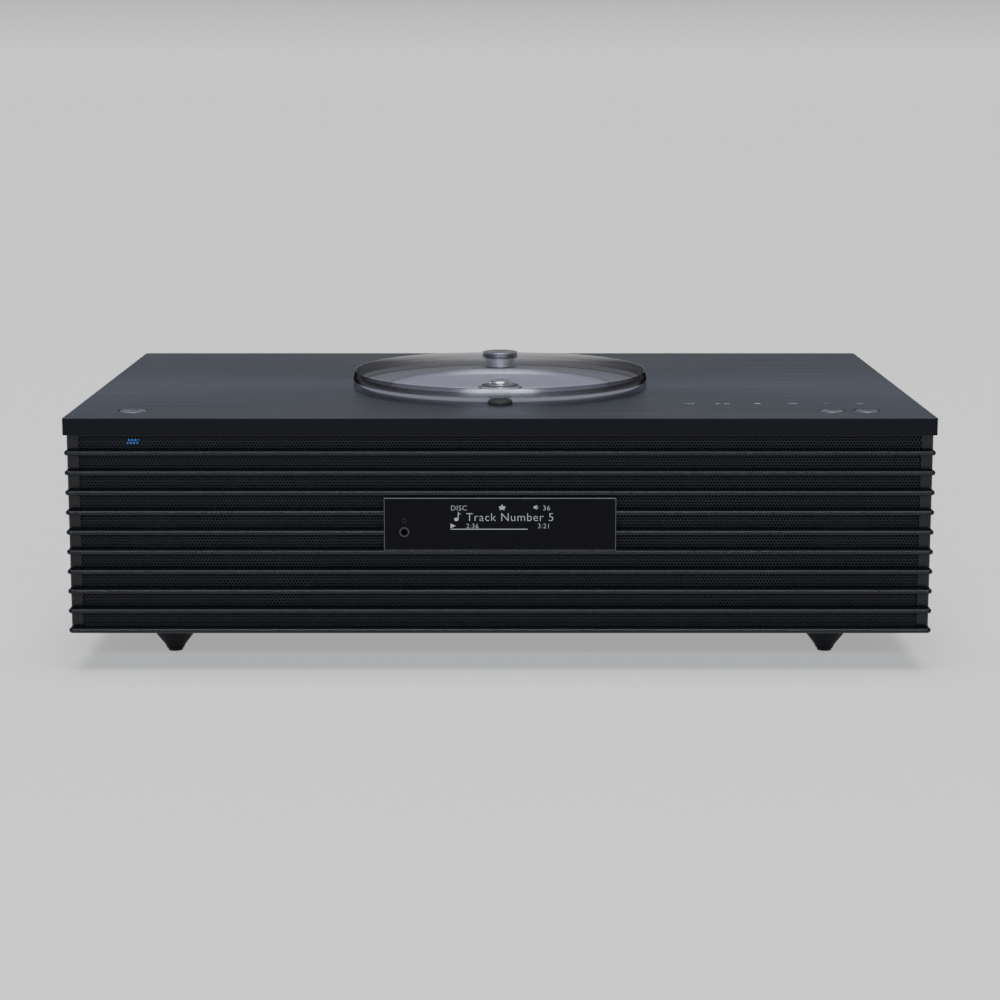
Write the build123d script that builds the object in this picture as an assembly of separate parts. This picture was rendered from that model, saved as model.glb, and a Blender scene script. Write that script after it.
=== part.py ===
from build123d import *
import os

# One-box hifi system: speakers, subwoofer, amplifier and a top-loading disc player in one cabinet.
# Millimetres. Origin on the table under the middle of the body, +Z up, the front faces -Y.

# Overall
WIDTH = 450.0
DEPTH = 280.0
FOOT_HEIGHT = 20.5
BODY_HEIGHT = 104.5
PANEL_THICK = 9.0
LID_RISE = 8.0
CAP_THICK = 1.0
GAP = 0.3  # between surfaces of bodies that move past each other
SEAT_GAP = 0.05  # between fitted pieces of one body

# Cabinet
SIDE_INSET = 0.7
FRONT_INSET = 7.5
REAR_INSET = 2.0
WALL = 4.3
CORNER = 2.0
STRIP_WIDTH = 6.5
STRIP_THICK = 1.0
REAR_RECESS = 8.0
PLATE_THICK = 3.0
REAR_THICK = 2.0
GRILLE_THICK = 0.8
BAFFLE_GAP = 1.7
BAFFLE_THICK = 8.0
BOSS = 13.0

# Louvre fins round the front and sides
FIN_COUNT = 10
FIN_TOP_BAND = 8.3
FIN_THICK = 2.5
FIN_SETBACK = 0.5
FIN_SIDE = 0.5
FIN_NOSE = 1.15

# Top panel
PANEL_SKIN = 4.0
PANEL_RIM = 6.0
PANEL_CORNER = 1.2
PANEL_EDGE = 0.3

# Buttons
POWER_FROM_SIDE = 32.5
VOLUME_FROM_SIDE = (50.8, 32.6)
BUTTON_FROM_FRONT = 26.8
POWER_RADIUS = 7.85
VOLUME_RADIUS = 6.85
BUTTON_PROUD = 0.2
BUTTON_TRAVEL = 0.8
BUTTON_DISH = 0.8
BUTTON_FLANGE = 1.4
STEM_RADIUS = 2.5
SWITCH_HEIGHT = 2.4
KEY_BOARD_DROP = 11.0
TOUCH_KEYS_WIDTH = 80.0
BOARD_THICK = 1.6
POST_RADIUS = 2.2

# Disc well, lid and hinge
WELL_RADIUS = 80.5
WELL_SINK = 0.4
WELL_FLANGE = 6.0
WELL_FLANGE_THICK = 2.5
FLOOR_DEPTH = 3.0
FLOOR_RADIUS = 61.0
FLOOR_BEVEL = 2.6
FLOOR_THICK = 2.0
HUB_HOLE = 13.0
LID_RADIUS = 82.7
LID_DRAFT = 1.3
LID_PLATE = 3.0
LID_CLEAR = 2.3
LID_RIM = 4.0
LID_EDGE = 0.8
HINGE_Y = 73.5
HINGE_RADIUS = 8.0
HINGE_PIN = 4.0
HINGE_FIT = 0.05
CAP_RADIUS = 10.5
CLIP_RADIUS = 7.0
CLIP_THICK = 1.5
STUD_RADIUS = 6.8
STUD_Y = -85.0

# Disc mechanism
PLATTER_RADIUS = 10.9
PLATTER_RISE = 1.5
HUB_RADIUS = 7.4
HUB_HEIGHT = 3.1
SHAFT_RADIUS = 1.0
SHAFT_FIT = 0.05
MOTOR_RADIUS = 11.0
MOTOR_HEIGHT = 8.0
CHASSIS_THICK = 2.0
CHASSIS_HALF_X = 55.0
CHASSIS_FRONT = -84.0
CHASSIS_BACK = 58.0
DAMPER_RADIUS = 6.0
DAMPER_AT = (46.0, 50.0)
ROD_RADIUS = 1.5
ROD_FIT = 0.05
ROD_X = 24.0
ROD_DROP = 6.0
LENS_START = 24.0
LENS_TRAVEL = 33.0
LENS_RADIUS = 4.0
FOCUS_TRAVEL = 0.5
SLED_HALF_Y = 9.0
SLED_HEIGHT = 7.0
SCREW_X = -38.0
FEED_MOTOR_RADIUS = 6.0
FEED_MOTOR_LENGTH = 14.0

# Loudspeakers and their boxes
FLANGE_THICK = 3.0
ROLL_WIDTH = 5.5
PAPER = 1.2
SUB_Y = 12.0
SUB_SPACER = 6.5
GUARD_SLOT = 8.0
GUARD_BAR = 5.0
DRIVER_SPACE = 3.0
WOOFER_LIP = 5.0
TWEETER_RADIUS = 17.0
DOME_RADIUS = 10.0
BOX_INNER_X = 74.0
BOX_BACK = 40.0
BOX_WALL = 2.5
BOX_TOP_CLEAR = 9.0
SUB_BOX_HALF_X = 72.0
SUB_BOX_DEPTH = 132.0
SUB_BOX_DROP = 11.0
SUB_SPACE = 13.0
SUB_MAGNET_HEIGHT = 18.0
PORT_RADIUS = 12.0
PORT_Y = 10.0
PORT_LENGTH = 60.0

# Front window and headphone socket
WINDOW_WIDTH = 120.0
WINDOW_HEIGHT = 27.6
WINDOW_FIN = 4
MODULE_MARGIN = 3.0
MODULE_DEPTH = 5.0
JACK_X = -49.5
JACK_RISE = 9.7
JACK_RING = 2.65
JACK_BORE = 1.8
JACK_DEPTH = 14.0
LED_FROM_SIDE = 35.0
LED_DROP = 13.4

# Feet
FOOT_FROM_SIDE = 49.0
FOOT_FROM_FRONT = 48.0
FOOT_TOP = 18.0
FOOT_COLLAR = 1.0
FOOT_BEVEL = (0.8, 1.9)
FOOT_TIP = 4.6
PAD_RADIUS = 3.9
PAD_THICK = 1.2

# Sockets in the rear panel: centre x, height above the bottom plate, width, height
AC_INLET = dict(x=-150.0, z=24.0, w=24.0, h=14.0)
LAN_SOCKET = dict(x=110.0, z=22.6, w=16.0, h=13.5)
USB_SOCKET = dict(x=60.0, z=19.5, w=15.0, h=7.4)
SOCKET_DEPTH = 14.0
SOCKET_WALL = 1.2
SOCKET_PROUD = 1.0
SOCKET_PLATES = {"inlet_plate": (AC_INLET,), "socket_plate": (LAN_SOCKET, USB_SOCKET)}
SOCKET_PLATE_SIDE = 12.0
SOCKET_PLATE_HEIGHT = 34.0
ANTENNA_X = (150.0, 176.0)
ANTENNA_RISE = 50.0
ANTENNA_RADIUS = 4.5
ANTENNA_FLANGE = 5.5
BOARD_RISE = 12.0
BOARD_DEPTH = 64.0
HEAT_SINK_FINS = 6
HEAT_SINK_PITCH = 5.0

# Screws
SCREW_RADIUS = 1.45
SCREW_HEAD = 2.8
SCREW_HEAD_THICK = 1.6
SCREW_LENGTH = 8.0
REAR_SCREW_RISE = 30.0
REAR_SCREW_DROP = 15.5
BOTTOM_SCREW_Y = (-105.0, 25.0, 100.0)

# Levels and faces worked out from the sizes above
BODY_BOTTOM = FOOT_HEIGHT
BODY_TOP = BODY_BOTTOM + BODY_HEIGHT
TOP = BODY_TOP + PANEL_THICK
SKIN_UNDER = TOP - PANEL_SKIN
LID_TOP = TOP + LID_RISE
LID_UNDER = LID_TOP - LID_PLATE
LID_LOW = TOP + LID_CLEAR
PANEL_FRONT = -DEPTH / 2
HALF_WIDTH = WIDTH / 2 - SIDE_INSET
FIN_PITCH = (BODY_HEIGHT - FIN_THICK - FIN_TOP_BAND) / (FIN_COUNT - 1)
INNER_HALF = HALF_WIDTH - WALL
FIN_FRONT = PANEL_FRONT + FIN_SETBACK
STRIP_FRONT = PANEL_FRONT + FRONT_INSET - STRIP_THICK
GRILLE_FRONT = PANEL_FRONT + FRONT_INSET
GRILLE_BACK = GRILLE_FRONT + GRILLE_THICK
BAFFLE_FRONT = GRILLE_BACK + BAFFLE_GAP
BAFFLE_BACK = BAFFLE_FRONT + BAFFLE_THICK
BODY_BACK = DEPTH / 2 - REAR_INSET
REAR_FACE = BODY_BACK - REAR_RECESS
REAR_INSIDE = REAR_FACE - REAR_THICK
PLATE_TOP = BODY_BOTTOM + PLATE_THICK
REAR_SCREW_Z = (PLATE_TOP + REAR_SCREW_RISE, BODY_TOP - REAR_SCREW_DROP)
POWER_X = POWER_FROM_SIDE - WIDTH / 2
VOLUME_X = [WIDTH / 2 - inset for inset in VOLUME_FROM_SIDE]
BUTTON_Y = PANEL_FRONT + BUTTON_FROM_FRONT
KEY_BOARD_TOP = SKIN_UNDER - KEY_BOARD_DROP
FLOOR = TOP - FLOOR_DEPTH
FLOOR_UNDER = FLOOR - FLOOR_THICK
WELL_TOP = TOP - WELL_SINK
WELL_BOTTOM = BODY_TOP - WELL_FLANGE_THICK
PLATTER_TOP = FLOOR + PLATTER_RISE
CHASSIS_TOP = WELL_BOTTOM - 2.0
CHASSIS_UNDER = CHASSIS_TOP - CHASSIS_THICK
ROD_Z = CHASSIS_UNDER - ROD_DROP
WINDOW_LOW = BODY_BOTTOM + WINDOW_FIN * FIN_PITCH + FIN_THICK
WINDOW_HIGH = WINDOW_LOW + WINDOW_HEIGHT
JACK_Z = WINDOW_LOW + JACK_RISE
LED_X = LED_FROM_SIDE - WIDTH / 2
BOX_TOP = BODY_TOP - BOX_TOP_CLEAR
SUB_BOX_TOP = ROD_Z - FEED_MOTOR_RADIUS - SUB_BOX_DROP
SUB_DEPTH = SUB_BOX_TOP - BOX_WALL - SUB_SPACE - SUB_MAGNET_HEIGHT - SUB_SPACER - PLATE_TOP
DRIVER_Z = (PLATE_TOP + BOX_TOP) / 2
FLANGE = (BOX_TOP - PLATE_TOP) / 2 - BOX_WALL - DRIVER_SPACE
# Each driver: flange, opening, basket depth, magnet radius, magnet height, coil radius
SUBWOOFER = dict(
    flange=62.0, opening=55.0, depth=SUB_DEPTH, magnet=42.0, magnet_h=SUB_MAGNET_HEIGHT, coil=15.0
)
WOOFER = dict(flange=FLANGE, opening=FLANGE - WOOFER_LIP, depth=24.0, magnet=28.0, magnet_h=16.0, coil=12.0)
SUB_FACE = PLATE_TOP + SUB_SPACER
BOARD_Z = PLATE_TOP + BOARD_RISE
BOARD_BACK = REAR_INSIDE - SOCKET_DEPTH
BOARD_FRONT = BOARD_BACK - BOARD_DEPTH
WOOFER_X = BOX_INNER_X + BOX_WALL + DRIVER_SPACE + WOOFER["flange"]
TWEETER_X = WOOFER_X + WOOFER["flange"] + DRIVER_SPACE + TWEETER_RADIUS
BOX_OUTER_X = TWEETER_X + TWEETER_RADIUS + DRIVER_SPACE + BOX_WALL
PORT_X = WOOFER_X + 10.0
SCREW_LINE = INNER_HALF - BOSS / 2
ROD_ENDS = (CHASSIS_FRONT + 6, 10.0)
FOOT_X = WIDTH / 2 - FOOT_FROM_SIDE
FOOT_Y = DEPTH / 2 - FOOT_FROM_FRONT

HALF_CABINET = (-1, 1)
SIDES = {"left": -1, "right": 1}


def block(x, y, z):
    """A box between two corners, given as (low, high) pairs."""
    low = (x[0], y[0], z[0])
    high = (x[1], y[1], z[1])
    size = [b - a for a, b in zip(low, high)]
    centre = [(a + b) / 2 for a, b in zip(low, high)]
    return Pos(*centre) * Box(*size)


def disc(radius, z, x=0.0, y=0.0):
    """An upright round bar between two heights."""
    return Pos(x, y, (z[0] + z[1]) / 2) * Cylinder(radius, z[1] - z[0])


def bar(radius, y, x=0.0, z=0.0):
    """A round bar that runs front to back."""
    return Pos(x, (y[0] + y[1]) / 2, z) * Rot(90, 0, 0) * Cylinder(radius, y[1] - y[0])


def turned(points):
    """An outline of (radius, height) points spun about the upright axis."""
    outline = Polyline(*[(r, 0, h) for r, h in points], close=True)
    return revolve(make_face(outline), Axis.Z, 360)


def wrap(half_width, front, back, z, corner=0.0):
    """A block whose two upright front corners are rounded."""
    piece = block((-half_width, half_width), (front, back), z)
    if corner:
        uprights = piece.edges().filter_by(Axis.Z).group_by(Axis.Y)[0]
        piece = fillet(uprights, corner)
    return piece


def fin(low):
    """One louvre fin: a shelf with a rounded nose that runs along both sides and the front."""
    z = (low, low + FIN_THICK)
    shelf = wrap(HALF_WIDTH + FIN_SIDE, FIN_FRONT, BODY_BACK, z, CORNER + FIN_SIDE)
    nose = [e for e in shelf.edges() if abs(e.tangent_at(0.5).Z) < 0.5]
    nose = [e for e in nose if e.center().Y < BODY_BACK - 1]
    shelf = fillet(nose, FIN_NOSE)
    inside = wrap(INNER_HALF, GRILLE_FRONT, BODY_BACK + 1, (low - 1, low + FIN_THICK + 1))
    return shelf - inside


def louvre_frame():
    """The moulded outer frame: two side walls, two front corner strips and ten fins."""
    z = (BODY_BOTTOM, BODY_TOP)
    shell = wrap(HALF_WIDTH, STRIP_FRONT, BODY_BACK, z, CORNER)
    shell -= wrap(INNER_HALF, GRILLE_FRONT, BODY_BACK + 1, z)
    opening = HALF_WIDTH - STRIP_WIDTH
    shell -= block((-opening, opening), (FIN_FRONT - 1, GRILLE_FRONT + 1), z)
    for number in range(FIN_COUNT):
        shell += fin(BODY_BOTTOM + number * FIN_PITCH)
    half = WINDOW_WIDTH / 2 + 2 * SEAT_GAP
    clear = (WINDOW_LOW, WINDOW_HIGH + 2 * SEAT_GAP)
    shell -= block((-half, half), (FIN_FRONT - 1, GRILLE_FRONT + 1), clear)
    for side in HALF_CABINET:
        inner = side * (INNER_HALF - BOSS)
        x = sorted((inner, side * (INNER_HALF + WALL / 2)))
        for level in REAR_SCREW_Z:
            boss = block(x, (REAR_INSIDE - 12, REAR_INSIDE), (level - 5, level + 5))
            hole = bar(SCREW_RADIUS + SEAT_GAP, (REAR_INSIDE - 9, REAR_INSIDE + 1), side * SCREW_LINE, level)
            shell += boss - hole
        for y in BOTTOM_SCREW_Y:
            boss = block(x, (y - 5, y + 5), (PLATE_TOP, PLATE_TOP + 12))
            boss -= disc(SCREW_RADIUS + SEAT_GAP, (PLATE_TOP - 1, PLATE_TOP + 9), side * SCREW_LINE, y)
            shell += boss
    return shell


def buttons():
    """Each push button's name, place and radius."""
    rows = [("power_button", POWER_X, POWER_RADIUS)]
    rows.append(("volume_down_button", VOLUME_X[0], VOLUME_RADIUS))
    rows.append(("volume_up_button", VOLUME_X[1], VOLUME_RADIUS))
    return rows


def push_button(x, radius):
    """A turned metal button with a dished face, a flange under the panel and a stem to its switch."""
    top = TOP + BUTTON_PROUD
    flange_top = SKIN_UNDER - SEAT_GAP
    flange_low = flange_top - BUTTON_FLANGE
    body = disc(radius - GAP, (flange_low, top))
    body = chamfer(body.edges().group_by(Axis.Z)[-1], 0.3)
    ball = (radius ** 2 + BUTTON_DISH ** 2) / (2 * BUTTON_DISH)
    body -= Pos(0, 0, top + ball - BUTTON_DISH) * Sphere(ball)
    body += disc(radius + 1.2, (flange_low, flange_top))
    stem_low = KEY_BOARD_TOP + SWITCH_HEIGHT + BUTTON_TRAVEL + SEAT_GAP
    body += disc(STEM_RADIUS, (stem_low, flange_low))
    return Pos(x, BUTTON_Y, 0) * body


def key_board(x, switches):
    """A circuit board that hangs from two posts under the top panel and carries push switches."""
    z = (KEY_BOARD_TOP - BOARD_THICK, KEY_BOARD_TOP)
    board = block(x, (BUTTON_Y - 7, BUTTON_Y + 20), z)
    for place in switches:
        level = (KEY_BOARD_TOP, KEY_BOARD_TOP + SWITCH_HEIGHT)
        board += block((place - 3, place + 3), (BUTTON_Y - 3, BUTTON_Y + 3), level)
    return board


KEY_BOARDS = {
    "power_key_board": ((POWER_X - 15, POWER_X + 15), (POWER_X,)),
    "volume_and_touch_key_board": ((VOLUME_X[0] - TOUCH_KEYS_WIDTH, VOLUME_X[1] + 10), VOLUME_X),
}


def top_panel():
    """The brushed aluminium top: a slab with a pocketed underside and holes for the well and buttons."""
    panel = block((-WIDTH / 2, WIDTH / 2), (-DEPTH / 2, DEPTH / 2), (BODY_TOP, TOP))
    panel = fillet(panel.edges().filter_by(Axis.Z), PANEL_CORNER)
    panel = chamfer(panel.edges().group_by(Axis.Z)[-1], PANEL_EDGE)
    half = WIDTH / 2 - PANEL_RIM
    pocket = block((-half, half), (-DEPTH / 2 + 12, DEPTH / 2 - PANEL_RIM), (BODY_TOP - 1, SKIN_UNDER))
    pocket -= disc(WELL_RADIUS + WELL_FLANGE + 6, (BODY_TOP - 1, SKIN_UNDER))
    panel -= pocket
    panel -= disc(WELL_RADIUS, (BODY_TOP - 1, TOP + 1))
    for _, x, radius in buttons():
        panel -= disc(radius, (BODY_TOP - 1, TOP + 1), x, BUTTON_Y)
    for x, _ in KEY_BOARDS.values():
        for place in (x[0] + 3, x[1] - 3):
            panel += disc(POST_RADIUS, (KEY_BOARD_TOP, SKIN_UNDER), place, BUTTON_Y + 16)
    return panel


def front_grille():
    """The perforated steel sheet behind the fins, with a window for the display."""
    sheet_half = INNER_HALF - SEAT_GAP
    sheet = block((-sheet_half, sheet_half), (GRILLE_FRONT, GRILLE_BACK), (BODY_BOTTOM, BODY_TOP))
    half = WINDOW_WIDTH / 2 - MODULE_MARGIN
    low = WINDOW_LOW + MODULE_MARGIN
    high = WINDOW_HIGH - MODULE_MARGIN
    return sheet - block((-half, half), (GRILLE_FRONT - 1, GRILLE_BACK + 1), (low, high))


def display_window():
    """The glossy black acrylic front of the display, with the headphone hole."""
    half = WINDOW_WIDTH / 2
    pane = block((-half, half), (FIN_FRONT + 0.1, GRILLE_FRONT), (WINDOW_LOW, WINDOW_HIGH))
    pane = chamfer(pane.faces().sort_by(Axis.Y)[0].edges(), 0.35)
    return pane - bar(JACK_RING + SEAT_GAP, (FIN_FRONT - 1, GRILLE_FRONT + 1), JACK_X, JACK_Z)


def display_module():
    """The display panel and its board, set in the grille's window."""
    half = WINDOW_WIDTH / 2 - MODULE_MARGIN - SEAT_GAP
    low = WINDOW_LOW + MODULE_MARGIN + SEAT_GAP
    high = WINDOW_HIGH - MODULE_MARGIN - SEAT_GAP
    module = block((-half, half), (GRILLE_FRONT, GRILLE_FRONT + MODULE_DEPTH), (low, high))
    clear = block((-half - 1, JACK_X + 6), (GRILLE_FRONT - 1, BAFFLE_BACK), (low - 1, high + 1))
    return module - clear


def headphone_jack():
    """The socket's barrel and ring in the window, and its moulded body behind."""
    back = GRILLE_BACK + JACK_DEPTH - FRONT_INSET + FIN_SETBACK + 2
    jack = bar(JACK_RING, (FIN_FRONT, GRILLE_BACK), JACK_X, JACK_Z)
    jack += block((JACK_X - 4.5, JACK_X + 4.5), (GRILLE_BACK, back), (JACK_Z - 4.5, JACK_Z + 4.5))
    return jack - bar(JACK_BORE, (FIN_FRONT - 1, FIN_FRONT + JACK_DEPTH), JACK_X, JACK_Z)


def status_light():
    """A small leaning light guide behind the perforations, below the power button."""
    z = TOP - LED_DROP
    lean = 1.0
    corners = [(-3.2, -1.4), (2.2, -1.4), (2.2 + lean, 1.4), (-3.2 + lean, 1.4)]
    face = make_face(Polyline(*[(LED_X + x, 0, z + h) for x, h in corners], close=True))
    return Pos(0, BAFFLE_FRONT, 0) * extrude(face, BAFFLE_GAP, dir=(0, -1, 0))


def front_baffle():
    """The board that holds the woofers and tweeters, notched behind the display."""
    half = INNER_HALF - SEAT_GAP
    board = block((-half, half), (BAFFLE_FRONT, BAFFLE_BACK), (PLATE_TOP, BODY_TOP))
    for side in HALF_CABINET:
        board -= bar(WOOFER["opening"], (BAFFLE_FRONT - 1, BAFFLE_BACK + 1), side * WOOFER_X, DRIVER_Z)
        board -= bar(TWEETER_RADIUS - 3, (BAFFLE_FRONT - 1, BAFFLE_BACK + 1), side * TWEETER_X, DRIVER_Z)
    half = WINDOW_WIDTH / 2
    return board - block((-half, half), (BAFFLE_FRONT - 1, BAFFLE_BACK + 1), (WINDOW_LOW, WINDOW_HIGH))


def driver_frame(size):
    """A loudspeaker's basket, magnet and pole piece, facing down from height 0."""
    back = size["depth"] + size["magnet_h"]
    slot_end = back - 4
    outline = [
        (size["flange"], 0),
        (size["flange"], FLANGE_THICK),
        (size["opening"] + 2, FLANGE_THICK),
        (size["coil"] + 10, size["depth"]),
        (size["magnet"], size["depth"]),
        (size["magnet"], back),
        (0, back),
        (0, size["depth"]),
        (size["coil"] - 1, size["depth"]),
        (size["coil"] - 1, slot_end),
        (size["coil"] + 1.2, slot_end),
        (size["coil"] + 1.2, size["depth"]),
        (size["coil"] + 8, size["depth"]),
        (size["opening"], FLANGE_THICK - 0.5),
        (size["opening"], 0),
    ]
    return turned(outline)


def driver_cone(size):
    """A paper cone with its dust cap and voice coil former."""
    rim = size["opening"] - ROLL_WIDTH
    neck = size["depth"] - 6
    outer = size["coil"] + 0.6
    inner = size["coil"] - 0.4
    end = size["depth"] + size["magnet_h"] - 9
    outline = [
        (rim, 2),
        (rim, 2 + PAPER),
        (outer, neck + PAPER),
        (outer, end),
        (inner, end),
        (inner, neck - 0.4),
        (inner * 0.6, neck - 3.0),
        (0, neck - 4.0),
        (0, neck - 4.0 - PAPER),
        (inner * 0.62, neck - 3.0 - PAPER),
        (outer, neck - 1.6),
    ]
    return turned(outline)


def driver_surround(size):
    """The half-roll of rubber between a cone's edge and its basket."""
    inner = size["opening"] - ROLL_WIDTH + GAP
    outer = size["opening"] - SEAT_GAP
    middle = (inner + outer) / 2
    half = (outer - inner) / 2
    ring = Circle(half) - Circle(half - 0.7)
    ring &= Pos(0, -half) * Rectangle(4 * half, 2 * half)
    return revolve(Plane.XZ * Pos(middle, FLANGE_THICK / 2) * ring, Axis.Z, 360)


def tweeter():
    """A tweeter's face plate and magnet, with its dome fixed in."""
    body = disc(TWEETER_RADIUS, (0, 2.5)) + disc(TWEETER_RADIUS - 4, (2.5, 14))
    dome = Pos(0, 0, DOME_RADIUS) * Sphere(DOME_RADIUS + 2)
    return body + (dome & disc(DOME_RADIUS, (-2, 2)))


def facing_front(piece, x):
    """Turn a piece that faces down to face the front, seated behind the baffle."""
    return Pos(x, BAFFLE_BACK, DRIVER_Z) * Rot(-90, 0, 0) * piece


def speaker_box(side):
    """A moulded enclosure behind one woofer and tweeter, with its port down through the bottom plate."""
    x = sorted((side * BOX_INNER_X, side * BOX_OUTER_X))
    box = block(x, (BAFFLE_BACK, BOX_BACK), (PLATE_TOP, BOX_TOP))
    inner_x = (x[0] + BOX_WALL, x[1] - BOX_WALL)
    inner_z = (PLATE_TOP + BOX_WALL, BOX_TOP - BOX_WALL)
    box -= block(inner_x, (BAFFLE_BACK - 1, BOX_BACK - BOX_WALL), inner_z)
    port_x = side * PORT_X
    port_z = (PLATE_TOP, PLATE_TOP + PORT_LENGTH)
    box += disc(PORT_RADIUS + BOX_WALL, port_z, port_x, PORT_Y)
    return box - disc(PORT_RADIUS, (PLATE_TOP - 1, PLATE_TOP + PORT_LENGTH + 1), port_x, PORT_Y)


def subwoofer_box():
    """The enclosure over the downward-firing subwoofer."""
    y = (SUB_Y - SUB_BOX_DEPTH / 2, SUB_Y + SUB_BOX_DEPTH / 2)
    box = block((-SUB_BOX_HALF_X, SUB_BOX_HALF_X), y, (PLATE_TOP, SUB_BOX_TOP))
    half = SUB_BOX_HALF_X - BOX_WALL
    inner_y = (y[0] + BOX_WALL, y[1] - BOX_WALL)
    return box - block((-half, half), inner_y, (PLATE_TOP - 1, SUB_BOX_TOP - BOX_WALL))


def bottom_plate():
    """The floor of the cabinet, with the subwoofer's slotted guard, spacer ring and board posts."""
    half = INNER_HALF - SEAT_GAP
    plate = block((-half, half), (GRILLE_BACK + SEAT_GAP, REAR_FACE), (BODY_BOTTOM, PLATE_TOP))
    opening = SUBWOOFER["opening"]
    spacer = disc(SUBWOOFER["flange"], (PLATE_TOP, SUB_FACE), 0, SUB_Y)
    plate += spacer - disc(opening, (PLATE_TOP, SUB_FACE), 0, SUB_Y)
    step = GUARD_SLOT + GUARD_BAR
    count = int(2 * opening // step)
    z = (BODY_BOTTOM - 1, PLATE_TOP + 1)
    for number in range(count):
        x = (number - (count - 1) / 2) * step
        slot = block((x - GUARD_SLOT / 2, x + GUARD_SLOT / 2), (SUB_Y - opening, SUB_Y + opening), z)
        plate -= slot & disc(opening - 3, z, 0, SUB_Y)
    for side in HALF_CABINET:
        plate -= disc(PORT_RADIUS, z, side * PORT_X, PORT_Y)
        for y in BOTTOM_SCREW_Y:
            plate -= disc(SCREW_RADIUS + 2 * SEAT_GAP, z, side * SCREW_LINE, y)
        for x in (BOX_INNER_X + 10, BOX_OUTER_X - 10):
            for y in (BOARD_FRONT + 5, BOARD_BACK - 5):
                plate += disc(3.0, (PLATE_TOP, BOARD_Z), side * x, y)
    return plate


def plate_outline(sizes, margin=0.0):
    """The block that a socket plate fills in the rear panel, grown by a margin."""
    left = min(size["x"] - size["w"] / 2 for size in sizes) - SOCKET_PLATE_SIDE - margin
    right = max(size["x"] + size["w"] / 2 for size in sizes) + SOCKET_PLATE_SIDE + margin
    middle = PLATE_TOP + sizes[0]["z"]
    half = SOCKET_PLATE_HEIGHT / 2 + margin
    return block((left, right), (REAR_INSIDE, REAR_FACE), (middle - half, middle + half))


def socket_plate(sizes):
    """A small steel plate let into the rear panel, with openings for its sockets."""
    plate = plate_outline(sizes)
    for size in sizes:
        plate -= socket_outline(size, (REAR_INSIDE - 1, REAR_FACE + 1), SEAT_GAP)
    return plate


def rear_panel():
    """The steel rear panel, set in from the cabinet's end, with openings for the socket plates."""
    half = INNER_HALF - SEAT_GAP
    y = (REAR_INSIDE, REAR_FACE)
    through = (REAR_INSIDE - 1, REAR_FACE + 1)
    panel = block((-half, half), y, (PLATE_TOP, BODY_TOP))
    for sizes in SOCKET_PLATES.values():
        panel -= plate_outline(sizes, SEAT_GAP)
    for x in ANTENNA_X:
        panel -= bar(ANTENNA_FLANGE + SEAT_GAP, through, x, PLATE_TOP + ANTENNA_RISE)
    for side in HALF_CABINET:
        for level in REAR_SCREW_Z:
            panel -= bar(SCREW_RADIUS + 2 * SEAT_GAP, through, side * SCREW_LINE, level)
    return panel


def socket_outline(size, y, margin=0.0):
    """The block that a rear socket fills between two depths, grown by a margin."""
    z = PLATE_TOP + size["z"]
    half_w = size["w"] / 2 + margin
    half_h = size["h"] / 2 + margin
    return block((size["x"] - half_w, size["x"] + half_w), y, (z - half_h, z + half_h))


def rear_socket(size):
    """A socket with an open mouth at the back."""
    y = (REAR_FACE - SOCKET_DEPTH, REAR_FACE + SOCKET_PROUD)
    cavity = (y[0] + SOCKET_WALL, y[1] + 1)
    return socket_outline(size, y) - socket_outline(size, cavity, -SOCKET_WALL)


def ac_inlet():
    """The two-pin mains inlet."""
    inlet = rear_socket(AC_INLET)
    for side in HALF_CABINET:
        y = (REAR_FACE - SOCKET_DEPTH + 0.5, REAR_FACE - 2)
        inlet += bar(1.2, y, AC_INLET["x"] + side * 4.3, PLATE_TOP + AC_INLET["z"])
    return inlet


def antenna_terminals():
    """Two threaded coaxial aerial sockets on one block."""
    z = PLATE_TOP + ANTENNA_RISE
    x = (ANTENNA_X[0] - 8, ANTENNA_X[1] + 8)
    block_y = (REAR_INSIDE - 10, REAR_INSIDE)
    piece = block(x, block_y, (z - 8, z + 8))
    for place in ANTENNA_X:
        piece += bar(ANTENNA_FLANGE, (REAR_INSIDE - 1, REAR_FACE), place, z)
        piece += bar(ANTENNA_RADIUS, (REAR_FACE - 1, BODY_BACK - 0.5), place, z)
        piece -= bar(ANTENNA_RADIUS - 1.5, (REAR_INSIDE - 4, BODY_BACK), place, z)
        piece += bar(0.5, (REAR_INSIDE - 5, REAR_FACE + 4), place, z)
    return piece


def board(x, notch_x=None):
    """A circuit board on its posts in front of the rear sockets, clear of the subwoofer's box."""
    z = (BOARD_Z, BOARD_Z + BOARD_THICK)
    sheet = block(x, (BOARD_FRONT, BOARD_BACK), z)
    if notch_x:
        clear_y = (BOARD_FRONT - 1, SUB_Y + SUB_BOX_DEPTH / 2 + 2)
        sheet -= block((notch_x[0] - 1, notch_x[1]), clear_y, (z[0] - 1, z[1] + 1))
    return sheet


def on_board(x, y, size, rise):
    """A part that stands on a board, placed from the board's back edge."""
    top = BOARD_Z + BOARD_THICK
    half_x = size[0] / 2
    half_y = size[1] / 2
    centre = BOARD_BACK - y
    return block((x - half_x, x + half_x), (centre - half_y, centre + half_y), (top, top + rise))


def main_board():
    """The network and control board with its chips and heat sink, beside the sockets."""
    piece = board((30.0, BOX_OUTER_X), (30.0, SUB_BOX_HALF_X + 1))
    piece += on_board(110, 12, (18, 18), 2)
    piece += on_board(150, 30, (14, 14), 2)
    piece += on_board(180, 22, (12, 12), 8)
    piece += on_board(97, 46, (26.5, 20), 3)
    for number in range(HEAT_SINK_FINS):
        place = 97 + (number - (HEAT_SINK_FINS - 1) / 2) * HEAT_SINK_PITCH
        piece += on_board(place, 46, (1.5, 20), 30)
    return piece


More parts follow.
